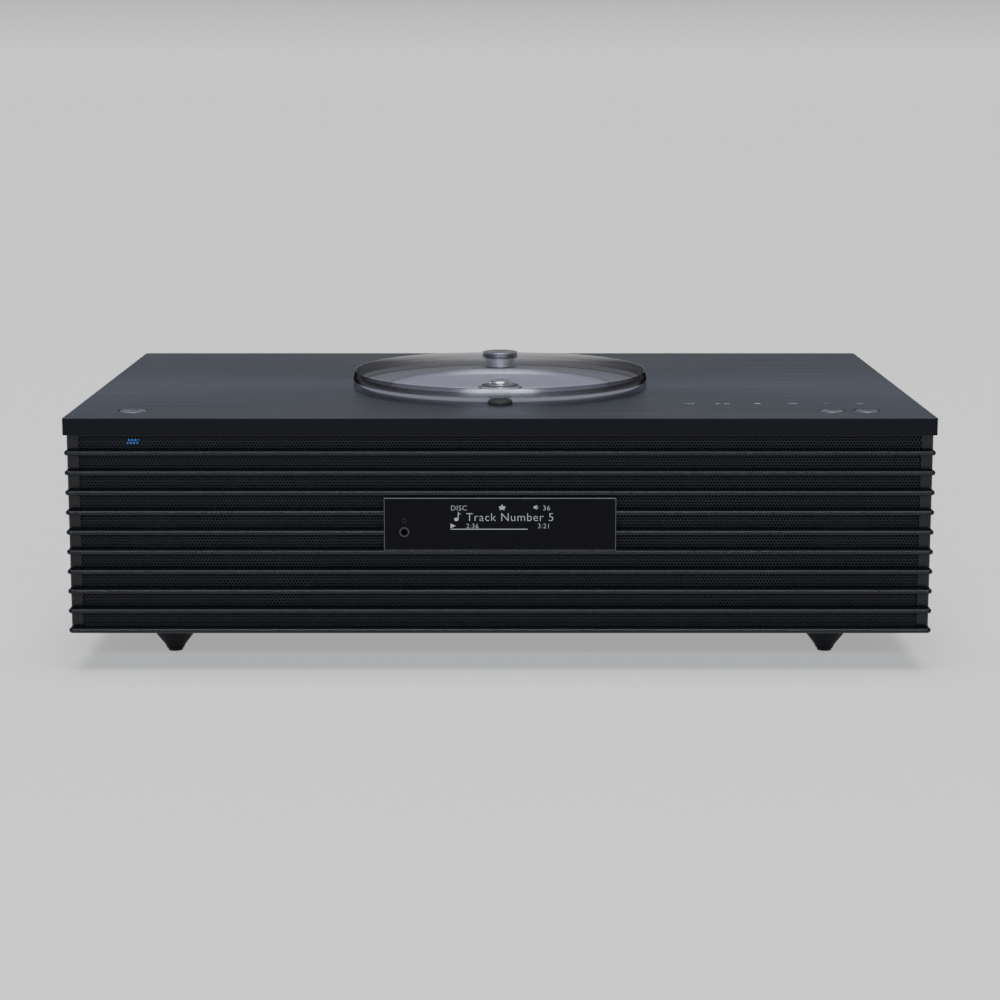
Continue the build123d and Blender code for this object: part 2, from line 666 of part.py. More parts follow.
def power_board():
    """The power supply board: transformer, two reservoir capacitors and a choke."""
    piece = board((-BOX_OUTER_X, -BOX_INNER_X - 4))
    piece += on_board(-120, 36, (40, 36), 34)
    piece += on_board(-158, 46, (15, 16), 18)
    for y in (14, 50):
        top = BOARD_Z + BOARD_THICK
        piece += disc(10, (top, top + 38), -185, BOARD_BACK - y)
    return piece


def disc_well():
    """The silver tray round the platter: a flat floor, a bevel, and a ring that seats in the top panel."""
    outer = WELL_RADIUS - SEAT_GAP
    inner = FLOOR_RADIUS + FLOOR_BEVEL
    hollow = outer - 4
    outline = [
        (outer, WELL_TOP),
        (inner, WELL_TOP),
        (FLOOR_RADIUS, FLOOR),
        (0, FLOOR),
        (0, FLOOR_UNDER),
        (hollow, FLOOR_UNDER),
        (hollow, WELL_BOTTOM),
        (WELL_RADIUS + WELL_FLANGE, WELL_BOTTOM),
        (WELL_RADIUS + WELL_FLANGE, BODY_TOP),
        (outer, BODY_TOP),
    ]
    well = turned(outline)
    for x, y in damper_places():
        well += disc(DAMPER_RADIUS - 1, (WELL_BOTTOM, FLOOR_UNDER), x, y)
    well += disc(CLIP_RADIUS + 2, (WELL_BOTTOM, FLOOR_UNDER), 0, HINGE_Y) & disc(outer, (0, TOP))
    well -= disc(HUB_HOLE, (WELL_BOTTOM, TOP))
    slot = LENS_RADIUS + 2.0
    slot_end = -(LENS_START + LENS_TRAVEL + LENS_RADIUS + 1.5)
    well -= block((-slot, slot), (slot_end, 0), (FLOOR_UNDER - 1, FLOOR + 1))
    return well - disc(HINGE_PIN + 1.5, (WELL_BOTTOM - 1, TOP), 0, HINGE_Y)


def damper_places():
    """The four corners where the mechanism hangs."""
    return [(sx * DAMPER_AT[0], sy * DAMPER_AT[1]) for sx in HALF_CABINET for sy in HALF_CABINET]


def lid():
    """The smoked acrylic lid: a plate with a thick drafted rim, bored for the hinge post."""
    low_radius = LID_RADIUS + LID_DRAFT
    inner = low_radius - LID_RIM
    outline = [
        (0, LID_TOP),
        (LID_RADIUS - LID_EDGE, LID_TOP),
        (LID_RADIUS, LID_TOP - LID_EDGE),
        (low_radius, LID_LOW + LID_EDGE),
        (low_radius - LID_EDGE, LID_LOW),
        (inner, LID_LOW),
        (inner, LID_UNDER),
        (0, LID_UNDER),
    ]
    return turned(outline) - disc(HINGE_RADIUS + SEAT_GAP, (LID_LOW - 1, LID_TOP + 1), 0, HINGE_Y)


def hinge_post():
    """The polished post that the lid is fixed to, with the pin that turns in the bush."""
    foot = TOP + GAP
    post = disc(HINGE_RADIUS, (foot, LID_TOP), 0, HINGE_Y)
    low = WELL_BOTTOM - GAP - CLIP_THICK - 1
    return post + disc(HINGE_PIN, (low, foot), 0, HINGE_Y)


def hinge_cap():
    """The satin disc that covers the hinge on top of the lid."""
    cap = disc(CAP_RADIUS, (LID_TOP, LID_TOP + CAP_THICK), 0, HINGE_Y)
    return chamfer(cap.edges().group_by(Axis.Z)[-1], 0.3)


def hinge_bush():
    """The flanged bush in the well that the hinge pin turns in."""
    bush = disc(HINGE_PIN + 1.5 - SEAT_GAP, (WELL_BOTTOM, WELL_TOP), 0, HINGE_Y)
    return bush - disc(HINGE_PIN + HINGE_FIT, (WELL_BOTTOM - 1, TOP), 0, HINGE_Y)


def hinge_clip():
    """The ring on the pin's end that keeps the lid down."""
    top = WELL_BOTTOM - GAP
    ring = disc(CLIP_RADIUS, (top - CLIP_THICK, top), 0, HINGE_Y)
    return ring - disc(HINGE_PIN, (top - CLIP_THICK - 1, top + 1), 0, HINGE_Y)


def lid_stop():
    """The low rubber button on the top panel that the lid's front rim closes over."""
    stud = disc(STUD_RADIUS, (TOP, LID_LOW - GAP), 0, STUD_Y)
    return fillet(stud.edges().group_by(Axis.Z)[-1], 0.8)


def turntable():
    """The spindle: a polished hub on a platter, and the motor shaft under it."""
    platter = disc(PLATTER_RADIUS, (FLOOR - 1.5, PLATTER_TOP - 0.4))
    hub = disc(HUB_RADIUS, (PLATTER_TOP - 0.4, PLATTER_TOP + HUB_HEIGHT))
    hub = fillet(hub.edges().group_by(Axis.Z)[-1], HUB_HEIGHT * 0.62)
    return platter + hub + disc(SHAFT_RADIUS, (CHASSIS_UNDER - MOTOR_HEIGHT + 2, FLOOR - 1.5))


def friction_ring():
    """The rubber ring that grips the disc."""
    ring = disc(PLATTER_RADIUS - 0.2, (PLATTER_TOP - 0.4, PLATTER_TOP))
    return ring - disc(HUB_RADIUS + SEAT_GAP, (PLATTER_TOP - 1, PLATTER_TOP + 1))


def spindle_motor():
    """The motor under the mechanism chassis."""
    motor = disc(MOTOR_RADIUS, (CHASSIS_UNDER - MOTOR_HEIGHT, CHASSIS_UNDER))
    return motor - disc(SHAFT_RADIUS + SHAFT_FIT, (CHASSIS_UNDER - MOTOR_HEIGHT + 2 - GAP, CHASSIS_UNDER + 1))


def cd_chassis():
    """The steel plate that carries the motor, the rods and the pickup."""
    x = (-CHASSIS_HALF_X, CHASSIS_HALF_X)
    plate = block(x, (CHASSIS_FRONT, CHASSIS_BACK), (CHASSIS_UNDER, CHASSIS_TOP))
    plate = fillet(plate.edges().filter_by(Axis.Z), 8.0)
    plate -= disc(SHAFT_RADIUS + 3, (CHASSIS_UNDER - 1, CHASSIS_TOP + 1))
    slot = LENS_RADIUS + 3.0
    slot_end = -(LENS_START + LENS_TRAVEL + LENS_RADIUS + 3)
    plate -= block((-slot, slot), (slot_end, -MOTOR_RADIUS - 1), (CHASSIS_UNDER - 1, CHASSIS_TOP + 1))
    for y in ROD_ENDS:
        for side in HALF_CABINET:
            place = side * ROD_X
            plate += rod_block(place, y)
        plate += rod_block(SCREW_X, y)
    return plate


def rod_block(x, y):
    """A block under the chassis with a hole for a rod's end."""
    piece = block((x - 4, x + 4), (y - 2, y + 2), (ROD_Z - 3.5, CHASSIS_UNDER))
    return piece - bar(ROD_RADIUS + ROD_FIT, (y - 3, y + 3), x, ROD_Z)


def rod(x):
    """A polished rod between the two rod blocks."""
    return bar(ROD_RADIUS, (ROD_ENDS[0] - 2, ROD_ENDS[1] + 2), x, ROD_Z)


def pickup_sled():
    """The optical pickup's die-cast sled, which slides on two rods and is driven by the feed screw."""
    y = (-LENS_START - SLED_HALF_Y, -LENS_START + SLED_HALF_Y)
    x = (SCREW_X - 4, ROD_X + 5)
    z = (ROD_Z - 3, CHASSIS_UNDER - 1.5)
    sled = block(x, y, z)
    for place in (-ROD_X, ROD_X, SCREW_X):
        sled -= bar(ROD_RADIUS + ROD_FIT, (y[0] - 1, y[1] + 1), place, ROD_Z)
    tower_top = FLOOR_UNDER - 3.0
    tower = disc(LENS_RADIUS + 1, (z[1], tower_top), 0, -LENS_START)
    tower -= disc(LENS_RADIUS - 1.5 + GAP, (z[1], tower_top + 1), 0, -LENS_START)
    return sled + tower


def lens_holder():
    """The objective lens in its holder, floating on wires above the sled."""
    top = PLATTER_TOP - 1.6
    low = FLOOR_UNDER - 3.0 + FOCUS_TRAVEL + GAP
    holder = disc(LENS_RADIUS, (low, top - 0.6), 0, -LENS_START)
    stalk = disc(LENS_RADIUS - 1.5, (CHASSIS_UNDER + 1.5, low), 0, -LENS_START)
    lens = Pos(0, -LENS_START, top - 4) * Sphere(4) & disc(2.4, (top - 1, top + 1), 0, -LENS_START)
    return holder + stalk + lens


def feed_motor():
    """The small stepping motor behind the feed screw."""
    y = ROD_ENDS[1] + 2 + GAP
    return bar(FEED_MOTOR_RADIUS, (y, y + FEED_MOTOR_LENGTH), SCREW_X, ROD_Z)


def case_screws():
    """The panhead screws in the rear panel and the bottom plate."""
    screws = []
    for side in HALF_CABINET:
        for level in REAR_SCREW_Z:
            screw = disc(SCREW_RADIUS, (-SCREW_LENGTH, 0)) + disc(SCREW_HEAD, (0, SCREW_HEAD_THICK))
            place = Pos(side * SCREW_LINE, REAR_FACE, level)
            screws.append(place * Rot(-90, 0, 0) * screw)
        for y in BOTTOM_SCREW_Y:
            screw = disc(SCREW_RADIUS, (0, SCREW_LENGTH)) + disc(SCREW_HEAD, (-SCREW_HEAD_THICK, 0))
            screws.append(Pos(side * SCREW_LINE, y, BODY_BOTTOM) * screw)
    return Compound(children=screws)


def foot_places():
    """Each foot's name and place."""
    places = {}
    for front, y in (("front", -FOOT_Y), ("rear", FOOT_Y)):
        for name, side in SIDES.items():
            places[f"foot_{front}_{name}"] = (side * FOOT_X, y)
    return places


def foot(x, y):
    """A turned cone foot with a recess for its rubber pad."""
    outline = [
        (0, BODY_BOTTOM),
        (FOOT_TOP, BODY_BOTTOM),
        (FOOT_TOP, BODY_BOTTOM - FOOT_COLLAR),
        (FOOT_TIP + FOOT_BEVEL[0], PAD_THICK + FOOT_BEVEL[1]),
        (FOOT_TIP, PAD_THICK),
        (0, PAD_THICK),
    ]
    return Pos(x, y, 0) * turned(outline)


def foot_pads():
    """The four rubber pads under the feet."""
    return Compound(children=[disc(PAD_RADIUS, (0, PAD_THICK), x, y) for x, y in foot_places().values()])


def build():
    """Make every piece, by name."""
    parts = {
        "top_panel": top_panel(),
        "louvre_frame": louvre_frame(),
        "front_grille": front_grille(),
        "front_baffle": front_baffle(),
        "bottom_plate": bottom_plate(),
        "rear_panel": rear_panel(),
        "case_screws": case_screws(),
        "display_window": display_window(),
        "display_module": display_module(),
        "headphone_jack": headphone_jack(),
        "status_light": status_light(),
        "foot_pads": foot_pads(),
        "disc_well": disc_well(),
        "turntable": turntable(),
        "friction_ring": friction_ring(),
        "spindle_motor": spindle_motor(),
        "cd_chassis": cd_chassis(),
        "chassis_dampers": Compound(children=[
            disc(DAMPER_RADIUS, (CHASSIS_TOP, WELL_BOTTOM), x, y) for x, y in damper_places()
        ]),
        "guide_rods": Compound(children=[rod(side * ROD_X) for side in HALF_CABINET]),
        "pickup_sled": pickup_sled(),
        "lens_holder": lens_holder(),
        "feed_screw": rod(SCREW_X),
        "feed_motor": feed_motor(),
        "lid_disc": lid(),
        "hinge_post": hinge_post(),
        "hinge_cap": hinge_cap(),
        "hinge_bush": hinge_bush(),
        "hinge_clip": hinge_clip(),
        "lid_stop": lid_stop(),
        "subwoofer_box": subwoofer_box(),
        "ac_inlet": ac_inlet(),
        "lan_socket": rear_socket(LAN_SOCKET),
        "usb_socket": rear_socket(USB_SOCKET),
        "antenna_terminals": antenna_terminals(),
        "main_board": main_board(),
        "power_board": power_board(),
    }
    for name, sizes in SOCKET_PLATES.items():
        parts[name] = socket_plate(sizes)
    for name, x, radius in buttons():
        parts[name] = push_button(x, radius)
    for name, (x, switches) in KEY_BOARDS.items():
        parts[name] = key_board(x, switches)
    for name, (x, y) in foot_places().items():
        parts[name] = foot(x, y)
    makers = {"frame": driver_frame, "cone": driver_cone, "surround": driver_surround}
    for piece, make in makers.items():
        parts[f"subwoofer_{piece}"] = Pos(0, SUB_Y, SUB_FACE) * make(SUBWOOFER)
        for name, side in SIDES.items():
            parts[f"woofer_{piece}_{name}"] = facing_front(make(WOOFER), side * WOOFER_X)
    for name, side in SIDES.items():
        parts[f"speaker_box_{name}"] = speaker_box(side)
        parts[f"tweeter_{name}"] = facing_front(tweeter(), side * TWEETER_X)
    return parts


os.makedirs("parts", exist_ok=True)
for part_name, part in build().items():
    export_step(part, f"parts/{part_name}.step")
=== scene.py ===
import math

import bmesh
import bpy
from mathutils import Matrix, Vector


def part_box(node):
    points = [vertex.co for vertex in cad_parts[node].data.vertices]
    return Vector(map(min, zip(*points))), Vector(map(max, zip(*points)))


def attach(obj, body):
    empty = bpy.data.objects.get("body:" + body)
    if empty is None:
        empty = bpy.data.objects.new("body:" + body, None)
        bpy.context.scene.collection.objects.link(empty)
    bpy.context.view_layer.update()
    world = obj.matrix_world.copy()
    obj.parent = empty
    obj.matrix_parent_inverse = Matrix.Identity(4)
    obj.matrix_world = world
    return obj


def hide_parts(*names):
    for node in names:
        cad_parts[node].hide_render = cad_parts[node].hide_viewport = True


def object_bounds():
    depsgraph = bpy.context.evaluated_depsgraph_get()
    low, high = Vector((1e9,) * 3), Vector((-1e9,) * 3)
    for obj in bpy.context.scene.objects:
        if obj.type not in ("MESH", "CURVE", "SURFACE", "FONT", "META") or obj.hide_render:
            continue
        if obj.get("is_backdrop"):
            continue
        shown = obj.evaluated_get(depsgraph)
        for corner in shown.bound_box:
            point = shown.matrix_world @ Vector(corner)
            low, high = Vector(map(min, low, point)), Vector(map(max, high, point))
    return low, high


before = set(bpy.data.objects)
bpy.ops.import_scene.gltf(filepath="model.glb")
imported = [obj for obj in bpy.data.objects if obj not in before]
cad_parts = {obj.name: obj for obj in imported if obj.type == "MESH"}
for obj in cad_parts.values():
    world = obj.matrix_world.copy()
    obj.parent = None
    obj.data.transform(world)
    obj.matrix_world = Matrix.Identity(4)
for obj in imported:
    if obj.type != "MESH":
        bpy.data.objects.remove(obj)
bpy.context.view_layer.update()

MM = 0.001

# ---- Top panel ----
# A thick aluminium slab, brushed along its length and anodised dark blue-grey. Its vertical edges
# are painted nearly black as painted shade. It lies on the cabinet and is bored for the disc well and the
# buttons.

def add_node(material, kind, **values):
    """A new node in a material, with its input sockets or its own settings given by name."""
    made = material.node_tree.nodes.new(kind)
    for key, value in values.items():
        name = key.replace("_", " ")
        if name in made.inputs:
            made.inputs[name].default_value = value
        else:
            setattr(made, key, value)
    return made


def join(material, *sockets):
    """Link sockets in pairs: out, in, out, in."""
    for out, into in zip(sockets[::2], sockets[1::2]):
        material.node_tree.links.new(out, into)


def new_finish(name, colour, roughness, metallic=0.0, **sockets):
    """A material whose plain values sit on its shader's own sockets."""
    material = bpy.data.materials.new(name)
    material.use_nodes = True
    shader = material.node_tree.nodes["Principled BSDF"]
    shader.inputs["Base Color"].default_value = (*colour, 1.0)
    shader.inputs["Roughness"].default_value = roughness
    shader.inputs["Metallic"].default_value = metallic
    for key, value in sockets.items():
        shader.inputs[key.replace("_", " ")].default_value = value
    return material


def shader_of(material):
    """The one shader of a material."""
    return material.node_tree.nodes["Principled BSDF"]


def object_place(material, scale, centre=(0, 0, 0)):
    """Object coordinates moved to a centre and stretched."""
    source = add_node(material, "ShaderNodeTexCoord")
    mapping = add_node(material, "ShaderNodeMapping")
    mapping.inputs["Location"].default_value = [-c * s for c, s in zip(centre, scale)]
    mapping.inputs["Scale"].default_value = scale
    join(material, source.outputs["Object"], mapping.inputs["Vector"])
    return mapping.outputs["Vector"]


def texture_noise(material, scale, detail=3.0, stretch=(1, 1, 1)):
    """A noise whose scale counts patches per metre."""
    noise = add_node(material, "ShaderNodeTexNoise", Scale=1.0, Detail=detail)
    place = object_place(material, [scale * s for s in stretch])
    join(material, place, noise.inputs["Vector"])
    return noise.outputs["Fac"]


def spread(material, value, low, high):
    """The middle of a value's range, 0.3 to 0.7, spread between two other values."""
    ranged = add_node(material, "ShaderNodeMapRange")
    ranged.inputs["From Min"].default_value = 0.3
    ranged.inputs["From Max"].default_value = 0.7
    ranged.inputs["To Min"].default_value = low
    ranged.inputs["To Max"].default_value = high
    join(material, value, ranged.inputs["Value"])
    return ranged.outputs["Result"]


def blend(material, value, first, second):
    """A colour between two others, each of them a plain colour or another node's socket."""
    mixed = add_node(material, "ShaderNodeMix", data_type="RGBA")
    sockets = [socket for socket in mixed.inputs if socket.type == "RGBA"]
    for socket, colour in zip(sockets, (first, second)):
        if isinstance(colour, bpy.types.NodeSocket):
            join(material, colour, socket)
        else:
            socket.default_value = (*colour, 1.0)
    join(material, value, mixed.inputs["Factor"])
    return [socket for socket in mixed.outputs if socket.type == "RGBA"][0]


def tint(material, value, dark, light):
    """Colour the surface between two colours by a 0 to 1 value."""
    join(material, blend(material, value, dark, light), shader_of(material).inputs["Base Color"])


def bump(material, value, depth):
    """Raise the surface by a 0 to 1 value, up to a depth in metres."""
    relief = add_node(material, "ShaderNodeBump", Strength=1.0, Distance=depth)
    join(material, value, relief.inputs["Height"])
    join(material, relief.outputs["Normal"], shader_of(material).inputs["Normal"])


def roughen(material, value, low, high):
    """Spread the roughness between two values by a 0 to 1 value."""
    join(material, spread(material, value, low, high), shader_of(material).inputs["Roughness"])


def grained(name, colour, roughness, scale, depth, metallic=0.0, change=0.15, rough=0.08, **sockets):
    """A finish with a grain: a small relief, and colour and roughness that vary with it."""
    material = new_finish(name, colour, roughness, metallic, **sockets)
    fine = texture_noise(material, scale, 4.0)
    broad = texture_noise(material, scale * 0.06, 2.0)
    dark = [c * (1 - change) for c in colour]
    light = [c * (1 + change) for c in colour]
    tint(material, spread(material, broad, 0.0, 1.0), dark, light)
    roughen(material, fine, roughness - rough, roughness + rough)
    bump(material, fine, depth)
    return material


def faces_more(material, axis, least):
    """1 where the surface faces along an axis by more than a value, and 0 elsewhere."""
    source = add_node(material, "ShaderNodeTexCoord")
    split = add_node(material, "ShaderNodeSeparateXYZ")
    test = add_node(material, "ShaderNodeMath", operation="GREATER_THAN")
    test.inputs[1].default_value = least
    join(material, source.outputs["Normal"], split.inputs["Vector"], split.outputs[axis], test.inputs[0])
    return test.outputs[0]


PANEL_GREY = (0.064, 0.074, 0.108)
PANEL_EDGE_SHADE = (0.014, 0.0145, 0.018)
FACING_UP = 0.9
BRUSH_LENGTH = 9.0
BRUSH_WIDTH = 1500.0


def brushed_panel():
    """Dark anodised aluminium with a straight brushed grain, with painted shade that makes its vertical
    edges nearly black.
    """
    material = new_finish("brushed_panel", PANEL_GREY, 0.34, 1.0, Anisotropic=0.55)
    fine = texture_noise(material, 1.0, 5.0, (BRUSH_LENGTH, BRUSH_WIDTH, BRUSH_WIDTH))
    broad = texture_noise(material, 1.0, 3.0, (BRUSH_LENGTH / 3, BRUSH_WIDTH / 7, BRUSH_WIDTH / 7))
    darker = [c * 0.80 for c in PANEL_GREY]
    lighter = [c * 1.22 for c in PANEL_GREY]
    grey = blend(material, spread(material, broad, 0.0, 1.0), darker, lighter)
    # Painted shade: every face that does not face up gets a near-black colour instead of the panel's grey.
    tint(material, faces_more(material, "Z", FACING_UP), PANEL_EDGE_SHADE, grey)
    roughen(material, fine, 0.27, 0.42)
    bump(material, fine, 0.000012)
    return material


def wear(material, *node_names):
    """Give CAD nodes that stay as they are a better material."""
    for name in node_names:
        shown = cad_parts[name]
        shown.data.materials.clear()
        shown.data.materials.append(material)


PANEL_FINISH = brushed_panel()
wear(PANEL_FINISH, "top_panel")
PANEL_THICK = 9 * MM
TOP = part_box("rear_panel")[1].z + PANEL_THICK
PANEL_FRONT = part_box("top_panel")[0].y

# ---- Louvred frame ----
# One moulding in satin black plastic: side walls, rounded corner strips and ten shelf-like fins
# with rounded noses that run along the sides and across the front.

FRAME_BLACK = (0.0065, 0.007, 0.0095)
FRAME_FINISH = grained("satin_frame", FRAME_BLACK, 0.19, 2600.0, 0.000002, change=0.12, rough=0.02,
                       Specular_IOR_Level=0.27)
wear(FRAME_FINISH, "louvre_frame")
FRAME_LOW, FRAME_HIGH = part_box("louvre_frame")
FIN_COUNT = 10
FIN_THICK = 2.5 * MM
FIN_TOP_BAND = 8.3 * MM
FIN_PITCH = (FRAME_HIGH.z - FRAME_LOW.z - FIN_THICK - FIN_TOP_BAND) / (FIN_COUNT - 1)

# ---- Front grille ----
# A steel sheet punched all over with small staggered round holes and painted satin black.
# It lies behind the fins, so each band between two fins shows five or six rows of holes.

ROWS_PER_BAND = 6
ROW_HEIGHT = FIN_PITCH / (ROWS_PER_BAND + 1)
HOLE_PITCH = ROW_HEIGHT / math.sin(math.radians(60))
HOLE_RADIUS = 0.56 * MM
HOLE_SIDES = 8
SHEET_LOW, SHEET_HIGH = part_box("front_grille")
SHEET_THICK = SHEET_HIGH.y - SHEET_LOW.y
GRILLE_BLACK = (0.0120, 0.0130, 0.018)


def finish_piece(piece, body, material=None, stands_for=()):
    """Give a piece its material, its body and the CAD nodes it stands for."""
    if material:
        piece.data.materials.clear()
        piece.data.materials.append(material)
    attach(piece, body)
    if stands_for:
        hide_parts(*stands_for)
    return piece


def show(piece):
    """Put an object in the scene."""
    bpy.context.scene.collection.objects.link(piece)
    return piece


def mesh_piece(name, build):
    """A new object whose mesh is filled by a function that is given an empty bmesh."""
    mesh = bpy.data.meshes.new(name)
    work = bmesh.new()
    build(work)
    work.to_mesh(mesh)
    work.free()
    return show(bpy.data.objects.new(name, mesh))


def baked(piece):
    """Turn an object with modifiers into a plain mesh."""
    graph = bpy.context.evaluated_depsgraph_get()
    mesh = bpy.data.meshes.new_from_object(piece.evaluated_get(graph))
    piece.modifiers.clear()
    piece.data = mesh
    return piece


def smooth(piece, degrees=35.0):
    """Shade a piece smooth, with the edges sharper than an angle left crisp."""
    piece.data.shade_smooth()
    piece.data.set_sharp_from_angle(angle=math.radians(degrees))
    return piece


def new_tree(name, **inputs):
    """A node tree that takes and gives geometry, with named inputs of the given kinds."""
    tree = bpy.data.node_groups.new(name, "GeometryNodeTree")
    tree.interface.new_socket("Geometry", in_out="INPUT", socket_type="NodeSocketGeometry")
    for key, kind in inputs.items():
        tree.interface.new_socket(key, in_out="INPUT", socket_type=f"NodeSocket{kind}")
    tree.interface.new_socket("Geometry", in_out="OUTPUT", socket_type="NodeSocketGeometry")
    return tree


def tree_node(tree, kind, settings=None, **links):
    """A node in a tree: its settings, then its inputs as values or as other nodes' sockets."""
    made = tree.nodes.new(kind)
    for key, value in (settings or {}).items():
        setattr(made, key, value)
    for key, value in links.items():
        number = int(key[1:]) if key[0] == "i" and key[1:].isdigit() else key.replace("_", " ")
        socket = made.inputs[number]
        if isinstance(value, bpy.types.NodeSocket):
            tree.links.new(value, socket)
        else:
            socket.default_value = value
    return made


def run_tree(piece, tree, **values):
    """Put a tree on an object with its named inputs set."""
    modifier = piece.modifiers.new(tree.name, "NODES")
    modifier.node_group = tree
    for item in tree.interface.items_tree:
        if item.item_type == "SOCKET" and item.in_out == "INPUT" and item.name in values:
            modifier[item.identifier] = values[item.name]


def tree_math(tree, operation, one, two):
    """One sum in a tree."""
    return tree_node(tree, "ShaderNodeMath", {"operation": operation}, i0=one, i1=two).outputs[0]


def close_tree(tree, geometry, material, **place):
    """End a tree: make its copies real, weld and place them if asked, and give them a material."""
    real = tree_node(tree, "GeometryNodeRealizeInstances", Geometry=geometry)
    if place:
        welded = tree_node(tree, "GeometryNodeMergeByDistance", Geometry=real.outputs[0], Distance=0.00001)
        real = tree_node(tree, "GeometryNodeTransform", Geometry=welded.outputs[0], **place)
    painted = tree_node(tree, "GeometryNodeSetMaterial", Geometry=real.outputs[0], Material=material)
    tree_node(tree, "NodeGroupOutput", Geometry=painted.outputs[0])
    return tree


def perforation_tree():
    """Repeats one punched cell in staggered rows, stood up to face the front."""
    tree = new_tree("perforations", Columns="Int", Rows="Int", Pitch="Float", RowHeight="Float",
                    Shift="Float", Place="Vector", Finish="Material")
    given = tree.nodes.new("NodeGroupInput").outputs
    width = tree_math(tree, "MULTIPLY", tree_math(tree, "SUBTRACT", given["Columns"], 1.0), given["Pitch"])
    gaps = tree_math(tree, "SUBTRACT", given["Rows"], 1.0)
    height = tree_math(tree, "MULTIPLY", gaps, given["RowHeight"])
    grid = tree_node(tree, "GeometryNodeMeshGrid", Size_X=width, Size_Y=height,
                     Vertices_X=given["Columns"], Vertices_Y=given["Rows"])
    number = tree_node(tree, "GeometryNodeInputIndex").outputs[0]
    row = tree_math(tree, "MODULO", number, given["Rows"])
    shifted = tree_math(tree, "ADD", tree_math(tree, "MODULO", row, 2.0), given["Shift"])
    odd = tree_math(tree, "MODULO", shifted, 2.0)
    half_pitch = tree_math(tree, "MULTIPLY", given["Pitch"], 0.5)
    offset = tree_node(tree, "ShaderNodeCombineXYZ", X=tree_math(tree, "MULTIPLY", odd, half_pitch))
    moved = tree_node(tree, "GeometryNodeSetPosition", Geometry=grid.outputs["Mesh"],
                      Offset=offset.outputs[0])
    placed = tree_node(tree, "GeometryNodeInstanceOnPoints", Points=moved.outputs[0],
                       Instance=given["Geometry"])
    return close_tree(tree, placed.outputs[0], given["Finish"], Translation=given["Place"],
                      Rotation=(math.pi / 2, 0, 0))


def punched_cell(work):
    """A flat rectangle with a round hole: eight four-sided faces between its rim and the hole."""
    half_x = HOLE_PITCH / 2
    half_y = ROW_HEIGHT / 2
    rim = [(1, 0), (1, 1), (0, 1), (-1, 1), (-1, 0), (-1, -1), (0, -1), (1, -1)]
    outer = [work.verts.new((x * half_x, y * half_y, 0)) for x, y in rim]
    turns = [math.radians(360 * n / HOLE_SIDES) for n in range(HOLE_SIDES)]
    inner = [work.verts.new((HOLE_RADIUS * math.cos(t), HOLE_RADIUS * math.sin(t), 0)) for t in turns]
    for n in range(HOLE_SIDES):
        after = (n + 1) % HOLE_SIDES
        work.faces.new((outer[n], outer[after], inner[after], inner[n]))


def fin_middle(number):
    """The height of the middle of a fin, counted from the lowest."""
    return FRAME_LOW.z + FIN_THICK / 2 + number * FIN_PITCH


GRILLE_FINISH = grained("grille_paint", GRILLE_BLACK, 0.45, 3000.0, 0.000006, Specular_IOR_Level=0.25)
PERFORATIONS = perforation_tree()
columns = int((SHEET_HIGH.x - SHEET_LOW.x) // HOLE_PITCH)
for band in range(FIN_COUNT):
    middle = fin_middle(band) + FIN_PITCH / 2
    sheet = mesh_piece(f"grille_band_{band + 1}", punched_cell)
    run_tree(sheet, PERFORATIONS, Columns=columns, Rows=ROWS_PER_BAND, Pitch=HOLE_PITCH,
             RowHeight=ROW_HEIGHT, Shift=float(band % 2), Finish=GRILLE_FINISH,
             Place=(-HOLE_PITCH / 4, SHEET_LOW.y, middle))
    wall = sheet.modifiers.new("wall", "SOLIDIFY")
    wall.thickness = SHEET_THICK
    wall.offset = -1.0
    baked(sheet)
    finish_piece(sheet, "root", None, ("front_grille",))


def box_faces(work, low, high, bevel=0.0, segments=2):
    """Add a block between two corners, with its edges bevelled."""
    middle = (Vector(low) + Vector(high)) / 2
    size = Vector(high) - Vector(low)
    place = Matrix.Translation(middle) @ Matrix.Diagonal((*size, 1.0))
    made = bmesh.ops.create_cube(work, size=1.0, matrix=place)
    if bevel:
        edges = {edge for vert in made["verts"] for edge in vert.link_edges}
        bmesh.ops.bevel(work, geom=list(edges), offset=bevel, segments=segments, affect="EDGES")


def grille_strips(work):
    """The unpunched strips of the sheet, each hidden behind a fin."""
    for number in range(FIN_COUNT):
        z = fin_middle(number)
        low = (SHEET_LOW.x, SHEET_LOW.y, z - ROW_HEIGHT / 2)
        high = (SHEET_HIGH.x, SHEET_HIGH.y, z + ROW_HEIGHT / 2)
        box_faces(work, low, high)


finish_piece(mesh_piece("grille_strips", grille_strips), "root", GRILLE_FINISH)

# ---- Display window ----
# A thick pane of glossy black acrylic with bevelled edges that carry a painted highlight in light grey,
# level with the noses of the fins.
# The display behind it shows the source, a track name, the time played and a volume figure.

WINDOW_BLACK = (0.004, 0.004, 0.005)
WINDOW_BEVEL_HIGHLIGHT = (0.13, 0.13, 0.15)
FACING_FRONT = -0.95
WINDOW_FINISH = new_finish("black_acrylic", WINDOW_BLACK, 0.08, Specular_IOR_Level=0.07)
roughen(WINDOW_FINISH, texture_noise(WINDOW_FINISH, 60.0, 3.0), 0.05, 0.12)
# Painted highlight: every face of the pane except the front is coloured light grey, so its bevels read as
# bright lines.
tint(WINDOW_FINISH, faces_more(WINDOW_FINISH, "Y", FACING_FRONT), WINDOW_BLACK, WINDOW_BEVEL_HIGHLIGHT)
wear(WINDOW_FINISH, "display_window")
WINDOW_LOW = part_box("display_window")[0]
INK_THICK = 0.03 * MM
DISPLAY_GREY = (0.62, 0.66, 0.70)
DISPLAY_POWER = 0.30
UNLIT = 0.25


